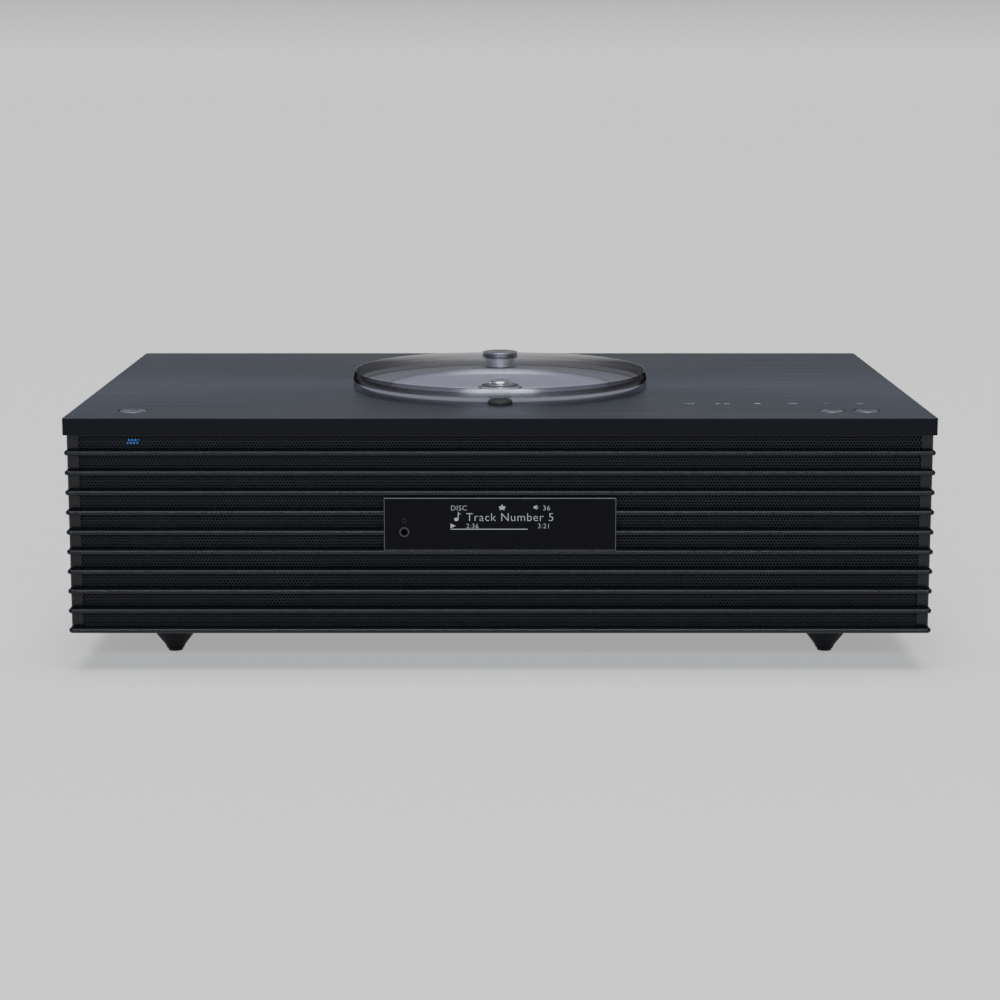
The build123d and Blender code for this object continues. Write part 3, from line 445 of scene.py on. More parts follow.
def lit_ink(name, colour, power):
    """Glowing ink for a display: fine dots of light rather than a flat fill."""
    material = new_finish(name, [c * UNLIT for c in colour], 0.4)
    shader = shader_of(material)
    dots = texture_noise(material, 5000.0, 1.0)
    glow = spread(material, dots, power * 0.8, power * 1.2)
    shader.inputs["Emission Color"].default_value = (*colour, 1.0)
    join(material, glow, shader.inputs["Emission Strength"])
    return material


DISPLAY_INK = lit_ink("display_glow", DISPLAY_GREY, DISPLAY_POWER)


def on_window(u, v, out=0.0):
    """A point on the window's face, in millimetres from its middle and upwards from its foot."""
    return Vector((u * MM, WINDOW_LOW.y - out, WINDOW_LOW.z + v * MM))


def on_top(u, v, out=0.0):
    """A point on the top panel, in millimetres from the middle of its front edge."""
    return Vector((u * MM, PANEL_FRONT + v * MM, TOP + out))


def stamped(name, shapes, place, material):
    """Thin raised print: closed flat shapes laid on a face by a function of two distances."""
    def build(work):
        for shape in shapes:
            turned = sum(a[0] * b[1] - b[0] * a[1] for a, b in zip(shape, shape[1:] + shape[:1]))
            ring = shape if turned > 0 else shape[::-1]
            front = [work.verts.new(place(u, v, INK_THICK)) for u, v in ring]
            back = [work.verts.new(place(u, v, 0.0)) for u, v in ring]
            work.faces.new(front)
            work.faces.new(back[::-1])
            for n in range(len(ring)):
                after = (n + 1) % len(ring)
                work.faces.new((front[after], front[n], back[n], back[after]))
        bmesh.ops.triangulate(work, faces=[face for face in work.faces if len(face.verts) > 4])
        bmesh.ops.recalc_face_normals(work, faces=work.faces)
    return finish_piece(mesh_piece(name, build), "root", material)


THINNING = 0.012
LETTER_SPACING = 1.08


def lettering(name, text, height, u, v, place, material, align):
    """A short generic word or figure set in plain letters on a face."""
    curve = bpy.data.curves.new(name, "FONT")
    curve.body = text
    curve.size = height
    curve.align_x = align
    curve.resolution_u = 3
    curve.extrude = 0.5
    curve.offset = -THINNING * height
    curve.space_character = LETTER_SPACING
    shown = show(bpy.data.objects.new(name, curve))
    graph = bpy.context.evaluated_depsgraph_get()
    mesh = bpy.data.meshes.new_from_object(shown.evaluated_get(graph))
    bpy.data.objects.remove(shown)
    for vert in mesh.vertices:
        vert.co = place(u + vert.co.x, v + vert.co.y, INK_THICK * (vert.co.z + 0.5))
    return finish_piece(show(bpy.data.objects.new(name, mesh)), "root", material)


def circle_shape(u, v, radius, sides=16):
    """A round outline."""
    turns = [2 * math.pi * n / sides for n in range(sides)]
    return [(u + radius * math.cos(t), v + radius * math.sin(t)) for t in turns]


def bar_shape(u, v, width, height):
    """A rectangular outline from its lower left corner."""
    return [(u, v), (u + width, v), (u + width, v + height), (u, v + height)]


def star_shape(u, v, radius):
    """A five-pointed star."""
    points = []
    for n in range(10):
        reach = radius if n % 2 == 0 else radius * 0.42
        turn = math.radians(90 + 36 * n)
        points.append((u + reach * math.cos(turn), v + reach * math.sin(turn)))
    return points


def note_shapes(u, v, size):
    """A quaver: a round head, a stem and a flag."""
    head = [(u + size * 0.3 * a, v + size * 0.24 * b) for a, b in circle_shape(0, 0, 1, 12)]
    stem_u = u + size * 0.2
    stem = bar_shape(stem_u, v, size * 0.11, size)
    flag = [(stem_u, v + size), (stem_u + size * 0.45, v + size * 0.66), (stem_u, v + size * 0.78)]
    return [head, stem, flag]


def speaker_shapes(u, v, size):
    """A loudspeaker seen from the side, with one wave."""
    body = [(u, v + size * 0.3), (u + size * 0.3, v + size * 0.3), (u + size * 0.6, v),
            (u + size * 0.6, v + size), (u + size * 0.3, v + size * 0.7), (u, v + size * 0.7)]
    wave = bar_shape(u + size * 0.75, v + size * 0.25, size * 0.1, size * 0.5)
    return [body, wave]


TEXT_LEFT = -25.6
TEXT_RIGHT = 26.0
TITLE_LEFT = -17.6
TOP_ROW = 21.1
TITLE_ROW = 15.5
TIME_ROW = 11.75
SMALL_TEXT = 3.8
TITLE_TEXT = 6.2
TIME_TEXT = 3.6
play = [(TEXT_LEFT, TIME_ROW), (TEXT_LEFT + 2.8, TIME_ROW + 1.25), (TEXT_LEFT, TIME_ROW + 2.5)]
stamped("display_marks",
        [star_shape(1.1, TOP_ROW + 1.5, 1.9), play, bar_shape(TEXT_LEFT, TIME_ROW - 0.7, 39.8, 0.4)]
        + note_shapes(-22.6, TITLE_ROW + 0.9, 3.9) + speaker_shapes(17.3, TOP_ROW + 0.3, 2.7),
        on_window, DISPLAY_INK)
for name, text, size, u, v, align in (
        ("display_source", "DISC", SMALL_TEXT, TEXT_LEFT, TOP_ROW, "LEFT"),
        ("display_volume", "36", SMALL_TEXT, TEXT_RIGHT, TOP_ROW, "RIGHT"),
        ("display_title", "Track Number 5", TITLE_TEXT, TITLE_LEFT, TITLE_ROW, "LEFT"),
        ("display_played", "2:36", TIME_TEXT, TITLE_LEFT, TIME_ROW, "LEFT"),
        ("display_length", "3:21", TIME_TEXT, TEXT_RIGHT, TIME_ROW, "RIGHT")):
    lettering(name, text, size, u, v, on_window, DISPLAY_INK, align)

# A faint ring printed above the headphone hole marks it.


def ring_shapes(u, v, radius, width, count=24):
    """A printed ring, as short straight strokes end to end."""
    strokes = []
    for n in range(count):
        one, two = (2 * math.pi * k / count for k in (n, n + 1))
        strokes.append([(u + r * math.cos(t), v + r * math.sin(t)) for r, t in (
            (radius, one), (radius + width, one), (radius + width, two), (radius, two))])
    return strokes


FAINT_GREY = (0.012, 0.012, 0.013)
HOLE_U = -49.5
MARK_V = 15.8
FAINT_FINISH = grained("faint_print", FAINT_GREY, 0.5, 4000.0, 0.000002)
stamped("headphone_mark", ring_shapes(HOLE_U, MARK_V, 0.9, 0.25), on_window, FAINT_FINISH)

# ---- Headphone socket ----
# A dark chromed ring round a 3.5 mm hole, in the lower left of the window.

NICKEL = (0.62, 0.62, 0.64)
NICKEL_FINISH = grained("nickel", NICKEL, 0.22, 1500.0, 0.000004, metallic=1.0, change=0.05, rough=0.05)
DARK_CHROME = (0.055, 0.055, 0.062)
CHROME_FINISH = grained("dark_chrome", DARK_CHROME, 0.2, 1500.0, 0.000004, metallic=1.0, change=0.05,
                        rough=0.05)
wear(CHROME_FINISH, "headphone_jack")

# ---- Status light ----
# A clear light guide behind the grille that glows blue through the holes below the power button.

BLUE = (0.02, 0.17, 0.75)
BLUE_POWER = 0.85
wear(lit_ink("blue_glow", BLUE, BLUE_POWER), "status_light")

# ---- Push buttons ----
# Turned aluminium caps with dished, finely spun faces, set in the top panel with a thin gap
# round each. Each one stands on the spring of its switch.

SPUN_GREY = (0.235, 0.24, 0.28)
BUTTON_FLANGE = 1.5
PANEL_SKIN = 4.0
STEM_RADIUS = 2.5
DISH_DEPTH = 0.85
DISH_STEPS = 12


def outline_points(corners, steps):
    """An outline of (radius, height, rounding) corners with each corner rounded."""
    points = []
    count = len(corners)
    for n in range(count):
        here = Vector(corners[n][:2])
        reach = corners[n][2] if len(corners[n]) > 2 else 0.0
        before = Vector(corners[n - 1][:2])
        after = Vector(corners[(n + 1) % count][:2])
        if not reach:
            points.append(here)
            continue
        start = here + (before - here).normalized() * reach
        end = here + (after - here).normalized() * reach
        for step in range(steps + 1):
            t = step / steps
            points.append((1 - t) ** 2 * start + 2 * t * (1 - t) * here + t ** 2 * end)
    return points


def turned_faces(work, corners, x=0.0, y=0.0, sides=96, steps=4):
    """Add a turned solid: an outline in millimetres spun about an upright axis."""
    points = outline_points(corners, steps)
    rings = []
    for point in points:
        if point.x < 1e-6:
            rings.append([work.verts.new((x, y, point.y * MM))])
            continue
        ring = []
        for n in range(sides):
            t = 2 * math.pi * n / sides
            ring.append(work.verts.new((x + point.x * MM * math.cos(t), y + point.x * MM * math.sin(t),
                                        point.y * MM)))
        rings.append(ring)
    made = []
    for one, two in zip(rings, rings[1:] + rings[:1]):
        if len(one) == 1 and len(two) == 1:
            continue
        for n in range(sides):
            after = (n + 1) % sides
            corner = [one[n % len(one)], two[n % len(two)], two[after % len(two)], one[after % len(one)]]
            unique = list(dict.fromkeys(corner))
            made.append(work.faces.new(unique))
    bmesh.ops.recalc_face_normals(work, faces=made)
    return made


def turned_piece(name, corners, x=0.0, y=0.0, sides=96, steps=4):
    """A turned object, smooth on its curves and crisp at its corners."""
    piece = mesh_piece(name, lambda work: turned_faces(work, corners, x, y, sides, steps))
    return smooth(piece)


def spun_finish(name, colour, centre, roughness=0.3):
    """Metal with fine rings about a centre, as a lathe tool leaves."""
    material = new_finish(name, colour, roughness, 1.0, Anisotropic=0.4)
    rings = add_node(material, "ShaderNodeTexWave", wave_type="RINGS", rings_direction="Z",
                     Scale=1.0, Distortion=0.6, Detail=2.0)
    place = object_place(material, (1600.0, 1600.0, 1600.0), centre=centre)
    join(material, place, rings.inputs["Vector"])
    roughen(material, rings.outputs["Fac"], roughness - 0.06, roughness + 0.1)
    tint(material, rings.outputs["Fac"], [c * 0.9 for c in colour], [c * 1.1 for c in colour])
    bump(material, rings.outputs["Fac"], 0.000006)
    return material


def dished_button(node_name, body):
    """A button cap in the place of its CAD node: a bowl-shaped face inside a fine bright rim."""
    low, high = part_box(node_name)
    x = (low.x + high.x) / 2
    y = (low.y + high.y) / 2
    flange = (high.x - low.x) / 2 / MM
    radius = flange - BUTTON_FLANGE
    top = high.z / MM
    bottom = low.z / MM
    skin = TOP / MM - PANEL_SKIN
    face = []
    for step in range(DISH_STEPS):
        share = step / DISH_STEPS
        face.append(((radius - 1.0) * (1 - share), top - DISH_DEPTH * (1 - (1 - share) ** 2)))
    seat = skin - BUTTON_FLANGE
    corners = [(radius, top - 0.5, 0.1), (radius - 0.8, top, 0.15), *face, (0, top - DISH_DEPTH),
               (0, bottom), (STEM_RADIUS, bottom, 0.3), (STEM_RADIUS, seat), (flange, seat),
               (flange, skin - 0.1), (radius, skin - 0.1)]
    cap = turned_piece(node_name + "_cap", corners, x, y, steps=3)
    return finish_piece(cap, body, spun_finish(node_name + "_spun", SPUN_GREY, (x, y, 0)),
                        (node_name,))


for key in ("power", "volume_down", "volume_up"):
    dished_button(f"{key}_button", f"{key}_key")

# ---- Printed marks ----
# Pale grey marks printed in a row on the top panel: four touch keys and the two volume signs.

PRINT_GREY = (0.27, 0.28, 0.32)
PRINT_FINISH = grained("pale_print", PRINT_GREY, 0.6, 4000.0, 0.000002)
MARK_ROW = 53.0


def pause_and_play(u):
    """The play triangle and the two pause bars."""
    v = MARK_ROW
    triangle = [(u - 4.0, v - 1.6), (u - 1.2, v), (u - 4.0, v + 1.6)]
    return [triangle, bar_shape(u + 0.8, v - 1.6, 0.8, 3.2), bar_shape(u + 2.4, v - 1.6, 0.8, 3.2)]


def source_mark(u):
    """An arrow going into a bar."""
    v = MARK_ROW
    return [bar_shape(u - 2.5, v - 0.35, 2.6, 0.7), [(u, v - 1.3), (u + 1.4, v), (u, v + 1.3)],
            bar_shape(u + 1.8, v - 1.6, 0.6, 3.2)]


def skip_mark(u):
    """A bar and two triangles."""
    v = MARK_ROW
    first = [(u + 0.3, v - 1.4), (u + 0.3, v + 1.4), (u - 1.7, v)]
    second = [(u + 2.4, v - 1.4), (u + 2.4, v + 1.4), (u + 0.4, v)]
    return [bar_shape(u - 2.4, v - 1.4, 0.5, 2.8), first, second]


def stop_mark(u):
    """A solid square."""
    return [bar_shape(u, MARK_ROW - 1.5, 3.0, 3.0)]


def minus_mark(u):
    """One stroke."""
    return [bar_shape(u, MARK_ROW - 0.3, 2.6, 0.6)]


def plus_mark(u):
    """Two short strokes with an upright one between them."""
    v = MARK_ROW - 0.3
    return [bar_shape(u, v, 2.0, 0.6), bar_shape(u + 2.6, v, 2.0, 0.6),
            bar_shape(u + 2.0, v - 1.0, 0.6, 2.6)]


marks = []
for draw, u in ((source_mark, 101.4), (pause_and_play, 119.7), (stop_mark, 136.6), (skip_mark, 156.6),
                (minus_mark, 173.4), (plus_mark, 190.6)):
    marks += draw(u)
stamped("touch_marks", marks, on_top, PRINT_FINISH)

# ---- Disc well ----
# A silver-painted tray with a flat floor for the disc, a bevel, and a darker ring that is brushed
# like the panel. A slot from the hub to the front lets the pickup's lens reach the disc.

WELL_SILVER = (0.43, 0.43, 0.53)
WELL_RING = (0.23, 0.235, 0.27)
FLOOR_EDGE = 0.0625


def well_finish():
    """Satin silver on the floor, and darker outside its edge."""
    material = new_finish("well_silver", WELL_SILVER, 0.38, 0.35)
    source = add_node(material, "ShaderNodeTexCoord")
    flat = add_node(material, "ShaderNodeVectorMath", operation="MULTIPLY")
    flat.inputs[1].default_value = (1.0, 1.0, 0.0)
    reach = add_node(material, "ShaderNodeVectorMath", operation="LENGTH")
    outside = add_node(material, "ShaderNodeMath", operation="GREATER_THAN")
    outside.inputs[1].default_value = FLOOR_EDGE
    join(material, source.outputs["Object"], flat.inputs[0], flat.outputs[0], reach.inputs[0])
    join(material, reach.outputs["Value"], outside.inputs[0])
    tint(material, outside.outputs[0], WELL_SILVER, WELL_RING)
    fine = texture_noise(material, 2600.0, 4.0)
    roughen(material, fine, 0.3, 0.48)
    bump(material, fine, 0.000008)
    return material


wear(well_finish(), "disc_well")

# ---- Spindle ----
# A polished hub that takes the disc's hole, with three sprung balls to hold it, on a platter
# with a ring of black rubber. The motor under the chassis turns it.

HUB_LOW, HUB_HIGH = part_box("turntable")
HUB_TOP = HUB_HIGH.z / MM
RUBBER_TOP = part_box("friction_ring")[1].z / MM
HUB_RADIUS = 7.4
PLATTER_RADIUS = 10.9
PLATTER_THICK = 2.6
RUBBER_STEP = 0.4
SHAFT_RADIUS = 1.0
HUB_SILVER = (0.70, 0.70, 0.73)
platter_top = RUBBER_TOP - RUBBER_STEP
hub = turned_piece("spindle_hub", [
    (0, HUB_TOP), (3.4, HUB_TOP, 0.4), (HUB_RADIUS - 1.2, HUB_TOP - 0.5, 1.0),
    (HUB_RADIUS, HUB_TOP - 2.1, 0.8), (HUB_RADIUS, platter_top),
    (PLATTER_RADIUS, platter_top, 0.2), (PLATTER_RADIUS, platter_top - PLATTER_THICK, 0.2),
    (SHAFT_RADIUS, platter_top - PLATTER_THICK), (SHAFT_RADIUS, HUB_LOW.z / MM), (0, HUB_LOW.z / MM)])
finish_piece(hub, "spindle", spun_finish("polished_hub", HUB_SILVER, (0, 0, 0), 0.16),
             ("turntable",))


def clamp_balls(work):
    """Three steel balls that stand a little out of the hub."""
    for number in range(3):
        turn = math.radians(90 + 120 * number)
        place = Vector((math.cos(turn), math.sin(turn), 0)) * (HUB_RADIUS - 0.75) * MM
        place.z = (HUB_TOP - 1.9) * MM
        bmesh.ops.create_uvsphere(work, u_segments=20, v_segments=12, radius=1.0 * MM,
                                  matrix=Matrix.Translation(place))


finish_piece(smooth(mesh_piece("clamp_balls", clamp_balls)), "spindle", NICKEL_FINISH)

RUBBER_BLACK = (0.018, 0.018, 0.019)
RUBBER_FINISH = grained("black_rubber", RUBBER_BLACK, 0.62, 5000.0, 0.00002, Specular_IOR_Level=0.35)
wear(RUBBER_FINISH, "friction_ring", "foot_pads", "chassis_dampers")

# ---- Pickup ----
# A die-cast sled on two steel rods, with the lens in a small black holder that floats above it.

CAST_GREY = (0.30, 0.30, 0.31)
CAST_FINISH = grained("die_cast", CAST_GREY, 0.45, 900.0, 0.00003, metallic=0.9)
wear(CAST_FINISH, "pickup_sled")
HOLDER_BLACK = (0.02, 0.02, 0.022)
HOLDER_FINISH = grained("holder_plastic", HOLDER_BLACK, 0.4, 3000.0, 0.00001)
LENS_LOW, LENS_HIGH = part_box("lens_holder")
LENS_Y = (LENS_LOW.y + LENS_HIGH.y) / 2
HOLDER_RADIUS = 4.0
HOLDER_NECK = 2.5
LENS_RADIUS = 2.3
lens_top = LENS_HIGH.z / MM
lens_foot = LENS_LOW.z / MM
rim_top = lens_top - 0.6
lens_seat = lens_top - 1.1
flange_foot = lens_top - 5.0
holder = turned_piece("lens_mount", [
    (HOLDER_RADIUS, rim_top, 0.3), (HOLDER_NECK, rim_top, 0.1), (LENS_RADIUS, lens_seat), (0, lens_seat),
    (0, lens_foot), (HOLDER_NECK, lens_foot), (HOLDER_NECK, flange_foot),
    (HOLDER_RADIUS, flange_foot, 0.3)], 0.0, LENS_Y, sides=48)
finish_piece(holder, "lens", HOLDER_FINISH, ("lens_holder",))
lens_points = [(LENS_RADIUS * math.sin(math.radians(a)), lens_top - 1.09 + 1.05 * math.cos(math.radians(a)))
               for a in range(0, 91, 10)]
glass = turned_piece("pickup_lens", lens_points + [(0, lens_top - 1.09)], 0.0, LENS_Y, sides=40)
GLASS_BLUE = (0.35, 0.45, 0.75)
GLASS_FINISH = new_finish("coated_glass", GLASS_BLUE, 0.03, Transmission_Weight=0.6, IOR=1.5)
roughen(GLASS_FINISH, texture_noise(GLASS_FINISH, 300.0), 0.02, 0.06)
finish_piece(glass, "lens", GLASS_FINISH)

# ---- Lid ----
# A lightly smoked acrylic lid: a flat plate on a thick drafted rim, polished all over. It turns
# flat about the post at its rear to uncover the disc.

LID_LOW, LID_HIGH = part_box("lid_disc")
LID_TOP = LID_HIGH.z / MM
LID_FOOT = LID_LOW.z / MM
LID_RADIUS = (LID_HIGH.x - LID_LOW.x) / 2 / MM
LID_DRAFT = 1.3
LID_RIM = 4.0
LID_PLATE = 3.0
POST_LOW, POST_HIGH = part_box("hinge_cap")
HINGE_Y = (POST_LOW.y + POST_HIGH.y) / 2
HINGE_RADIUS = 8.0
PLATE_CLEAR = (0.95, 0.95, 0.97)
RIM_CLEAR = (0.40, 0.39, 0.41)
RIM_SMOKE = (0.05, 0.042, 0.038)
SHINE = (0.90, 0.90, 0.93)


def acrylic_finish(name, clear, slant_clear, roughness, shine, slant_shine, slant_power):
    """Acrylic that light passes straight through, with its own tint and shine at a slant."""
    material = new_finish(name, SHINE, roughness, 1.0)
    roughen(material, texture_noise(material, 40.0, 3.0), roughness * 0.7, roughness * 1.4)
    facing = add_node(material, "ShaderNodeLayerWeight", Blend=0.5)
    smoke = blend(material, facing.outputs["Facing"], clear, slant_clear)
    through = add_node(material, "ShaderNodeBsdfTransparent")
    slant = add_node(material, "ShaderNodeMath", operation="POWER")
    slant.inputs[1].default_value = slant_power
    gloss = add_node(material, "ShaderNodeMapRange")
    gloss.inputs["To Min"].default_value = shine
    gloss.inputs["To Max"].default_value = slant_shine
    mixed = add_node(material, "ShaderNodeMixShader")
    output = material.node_tree.nodes["Material Output"]
    join(material, smoke, through.inputs["Color"],
         facing.outputs["Facing"], slant.inputs[0], slant.outputs[0], gloss.inputs["Value"],
         gloss.outputs["Result"], mixed.inputs[0], through.outputs[0], mixed.inputs[1],
         shader_of(material).outputs[0], mixed.inputs[2], mixed.outputs[0], output.inputs["Surface"])
    return material


def lid_faces(work):
    """The lid's turned outline, before the hinge hole is cut."""
    turned_faces(work, [
        (0, LID_TOP), (LID_RADIUS - LID_DRAFT, LID_TOP, 1.0), (LID_RADIUS, LID_FOOT, 0.5),
        (LID_RADIUS - LID_RIM, LID_FOOT, 0.3), (LID_RADIUS - LID_RIM, LID_TOP - LID_PLATE, 0.4),
        (0, LID_TOP - LID_PLATE)], sides=192, steps=4)


lid = mesh_piece("lid_shell", lid_faces)
drill = turned_piece("hinge_drill", [(0, LID_TOP + 2), (HINGE_RADIUS + 0.05, LID_TOP + 2),
                                    (HINGE_RADIUS + 0.05, LID_FOOT - 2), (0, LID_FOOT - 2)], 0.0, HINGE_Y)
cut = lid.modifiers.new("hinge hole", "BOOLEAN")
cut.object = drill
cut.solver = "EXACT"
baked(lid)
bpy.data.objects.remove(drill)
smooth(lid, 30)
lid.data.materials.clear()
lid.data.materials.append(acrylic_finish("clear_acrylic", PLATE_CLEAR, PLATE_CLEAR, roughness=0.035,
                                         shine=0.04, slant_shine=0.45, slant_power=5.0))
lid.data.materials.append(acrylic_finish("smoked_rim", RIM_CLEAR, RIM_SMOKE, roughness=0.22,
                                         shine=0.13, slant_shine=0.0, slant_power=1.0))
for face in lid.data.polygons:
    face.material_index = 1 if abs(face.normal.z) < 0.5 else 0
finish_piece(lid, "lid", None, ("lid_disc",))

# ---- Hinge ----
# A polished steel post that fills the hole in the lid, with a pin below that turns in a bush in
# the well, and a satin cap with spun rings on top.

POST_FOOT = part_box("hinge_post")[0].z / MM
SHOULDER = TOP / MM + 0.3
HINGE_WAIST = HINGE_RADIUS - 0.4
PIN_RADIUS = 4.0
post = turned_piece("hinge_pillar", [
    (0, LID_TOP), (HINGE_RADIUS, LID_TOP), (HINGE_RADIUS, LID_TOP - 1.2, 0.1),
    (HINGE_WAIST, LID_TOP - 1.6, 0.1), (HINGE_WAIST, SHOULDER + 1.6, 0.1),
    (HINGE_RADIUS, SHOULDER + 1.2, 0.1), (HINGE_RADIUS, SHOULDER, 0.2),
    (PIN_RADIUS, SHOULDER), (PIN_RADIUS, POST_FOOT, 0.4), (0, POST_FOOT)], 0.0, HINGE_Y)
STEEL = (0.80, 0.80, 0.85)
finish_piece(post, "lid", spun_finish("polished_post", STEEL, (0, HINGE_Y, 0), 0.34),
             ("hinge_post",))
CAP_TOP = POST_HIGH.z / MM
CAP_RADIUS = 10.5
cap = turned_piece("hinge_cover", [
    (0, CAP_TOP - 0.15), (CAP_RADIUS - 1.6, CAP_TOP - 0.15, 0.2), (CAP_RADIUS - 1.2, CAP_TOP, 0.1),
    (CAP_RADIUS, CAP_TOP, 0.3), (CAP_RADIUS, LID_TOP), (0, LID_TOP)], 0.0, HINGE_Y)
CAP_GREY = (0.30, 0.30, 0.33)
finish_piece(cap, "lid", spun_finish("satin_cap", CAP_GREY, (0, HINGE_Y, 0), 0.3),
             ("hinge_cap",))
ZINC = (0.42, 0.43, 0.44)
ZINC_FINISH = grained("zinc_steel", ZINC, 0.35, 700.0, 0.000008, metallic=1.0)
wear(ZINC_FINISH, "hinge_clip", "cd_chassis", "spindle_motor", "feed_motor")
wear(NICKEL_FINISH, "guide_rods", "feed_screw", "hinge_bush")

# ---- Lid stop ----
# A low dark rubber button on the panel, half under the lid's front edge.

STOP_LOW, STOP_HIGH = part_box("lid_stop")
stop_radius = (STOP_HIGH.x - STOP_LOW.x) / 2 / MM
stop = turned_piece("stop_button", [
    (0, STOP_HIGH.z / MM), (stop_radius - 1.0, STOP_HIGH.z / MM, 0.6),
    (stop_radius, STOP_LOW.z / MM + 0.6, 0.3), (stop_radius, STOP_LOW.z / MM), (0, STOP_LOW.z / MM)],
    0.0, (STOP_LOW.y + STOP_HIGH.y) / 2, sides=64)
finish_piece(stop, "root", RUBBER_FINISH, ("lid_stop",))

# ---- Feet ----
# Turned cones in satin black, each with a narrow collar at the top, a bevel near the tip and a
# rubber pad let into its sole.

FOOT_FINISH = grained("foot_black", FRAME_BLACK, 0.5, 1800.0, 0.000006, Specular_IOR_Level=0.12)
PAD_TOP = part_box("foot_pads")[1].z / MM
FOOT_COLLAR = 1.0
SOLE_RADIUS = 4.6
SOLE_BEVEL = 0.8
SOLE_BEVEL_HEIGHT = 1.9
for place in ("front_left", "front_right", "rear_left", "rear_right"):
    low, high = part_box(f"foot_{place}")
    top = high.z / MM
    radius = (high.x - low.x) / 2 / MM
    cone = turned_piece(f"cone_foot_{place}", [
        (0, top), (radius, top, 0.2), (radius, top - FOOT_COLLAR, 0.2),
        (SOLE_RADIUS + SOLE_BEVEL, PAD_TOP + SOLE_BEVEL_HEIGHT, 0.3), (SOLE_RADIUS, PAD_TOP, 0.3),
        (0, PAD_TOP)], (low.x + high.x) / 2, (low.y + high.y) / 2, sides=64)
    finish_piece(cone, "root", FOOT_FINISH, (f"foot_{place}",))

# ---- Bottom plate and subwoofer ----
# The cabinet's moulded floor has a slotted guard under the subwoofer and a port on each side.

PLATE_BLACK = (0.022, 0.022, 0.024)
PLATE_FINISH = grained("spark_plastic", PLATE_BLACK, 0.55, 1600.0, 0.00004)
wear(PLATE_FINISH, "bottom_plate", "subwoofer_box", "speaker_box_left", "speaker_box_right")
# The baffle behind the grille is black felt, painted darker still as the shade behind the holes: a
# near-black with no shine.
FELT_AND_SHADE_BLACK = (0.002, 0.002, 0.002)
FELT_AND_SHADE_FINISH = grained("baffle_felt_and_shade", FELT_AND_SHADE_BLACK, 0.95, 900.0, 0.0001, Specular_IOR_Level=0.0)
wear(FELT_AND_SHADE_FINISH, "front_baffle")
PAPER_GREY = (0.006, 0.006, 0.0065)
PAPER_FINISH = grained("pressed_paper", PAPER_GREY, 0.8, 1200.0, 0.00008)
IRON = (0.006, 0.006, 0.006)
IRON_FINISH = grained("painted_iron", IRON, 0.45, 900.0, 0.00002, metallic=0.4)
for driver in ("subwoofer_{}", "woofer_{}_left", "woofer_{}_right"):
    wear(PAPER_FINISH, driver.format("cone"))
    wear(RUBBER_FINISH, driver.format("surround"))
    wear(IRON_FINISH, driver.format("frame"))
wear(IRON_FINISH, "tweeter_left", "tweeter_right")

# ---- Rear panel and sockets ----
# A painted steel panel set in from the cabinet's end, with the mains inlet, the network and USB
# sockets and two threaded aerial sockets.

REAR_BLACK = (0.024, 0.024, 0.026)
REAR_FINISH = grained("rear_paint", REAR_BLACK, 0.5, 2200.0, 0.00002)
wear(REAR_FINISH, "rear_panel", "inlet_plate", "socket_plate")
wear(PLATE_FINISH, "ac_inlet")
wear(ZINC_FINISH, "lan_socket", "usb_socket")
BOARD_GREEN = (0.015, 0.06, 0.03)
BOARD_FINISH = grained("circuit_board", BOARD_GREEN, 0.4, 800.0, 0.00002)
wear(BOARD_FINISH, "main_board", "power_board", "power_key_board", "volume_and_touch_key_board",
     "display_module")

# The network socket has eight gilt springs and the USB socket a white tongue.

GOLD = (0.80, 0.56, 0.22)
GOLD_FINISH = grained("gilt", GOLD, 0.25, 1200.0, 0.000004, metallic=1.0, change=0.05, rough=0.05)
TONGUE_WHITE = (0.60, 0.60, 0.57)
TONGUE_FINISH = grained("tongue_plastic", TONGUE_WHITE, 0.45, 1500.0, 0.00001)
REAR_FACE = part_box("rear_panel")[1].y


def row_tree():
    """Repeats a shape along a straight row and gives it a material."""
    tree = new_tree("row_of_pins", Count="Int", Start="Vector", Step="Vector", Finish="Material")
    given = tree.nodes.new("NodeGroupInput").outputs
    line = tree_node(tree, "GeometryNodeMeshLine", Count=given["Count"], Start_Location=given["Start"],
                     Offset=given["Step"])
    placed = tree_node(tree, "GeometryNodeInstanceOnPoints", Points=line.outputs[0],
                       Instance=given["Geometry"])
    return close_tree(tree, placed.outputs[0], given["Finish"])


PIN_COUNT = 8
PIN_PITCH = 1.27 * MM
PIN_HALF = 0.25 * MM
PIN_LENGTH = 9.0 * MM
lan_low, lan_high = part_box("lan_socket")
lan_middle = (lan_low + lan_high) / 2
springs = mesh_piece("network_springs", lambda work: box_faces(
    work, (-PIN_HALF, -PIN_LENGTH, -PIN_HALF), (PIN_HALF, 0.0, PIN_HALF), 0.1 * MM, 1))
first_pin = (lan_middle.x - PIN_PITCH * (PIN_COUNT - 1) / 2, REAR_FACE - 2 * MM, lan_high.z - 2.6 * MM)
run_tree(springs, row_tree(), Count=PIN_COUNT, Start=first_pin, Step=(PIN_PITCH, 0.0, 0.0),
         Finish=GOLD_FINISH)
finish_piece(baked(springs), "root", None)
usb_low, usb_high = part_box("usb_socket")


def usb_tongue(work):
    """The tongue in the upper half of the USB socket."""
    top = usb_high.z - 2.0 * MM
    box_faces(work, (usb_low.x + 2.2 * MM, REAR_FACE - 11 * MM, top - 1.8 * MM),
              (usb_high.x - 2.2 * MM, REAR_FACE - 0.5 * MM, top), 0.2 * MM)


finish_piece(mesh_piece("usb_tongue", usb_tongue), "root", TONGUE_FINISH)

# The aerial sockets are nickel-plated, with a thread cut along each barrel.

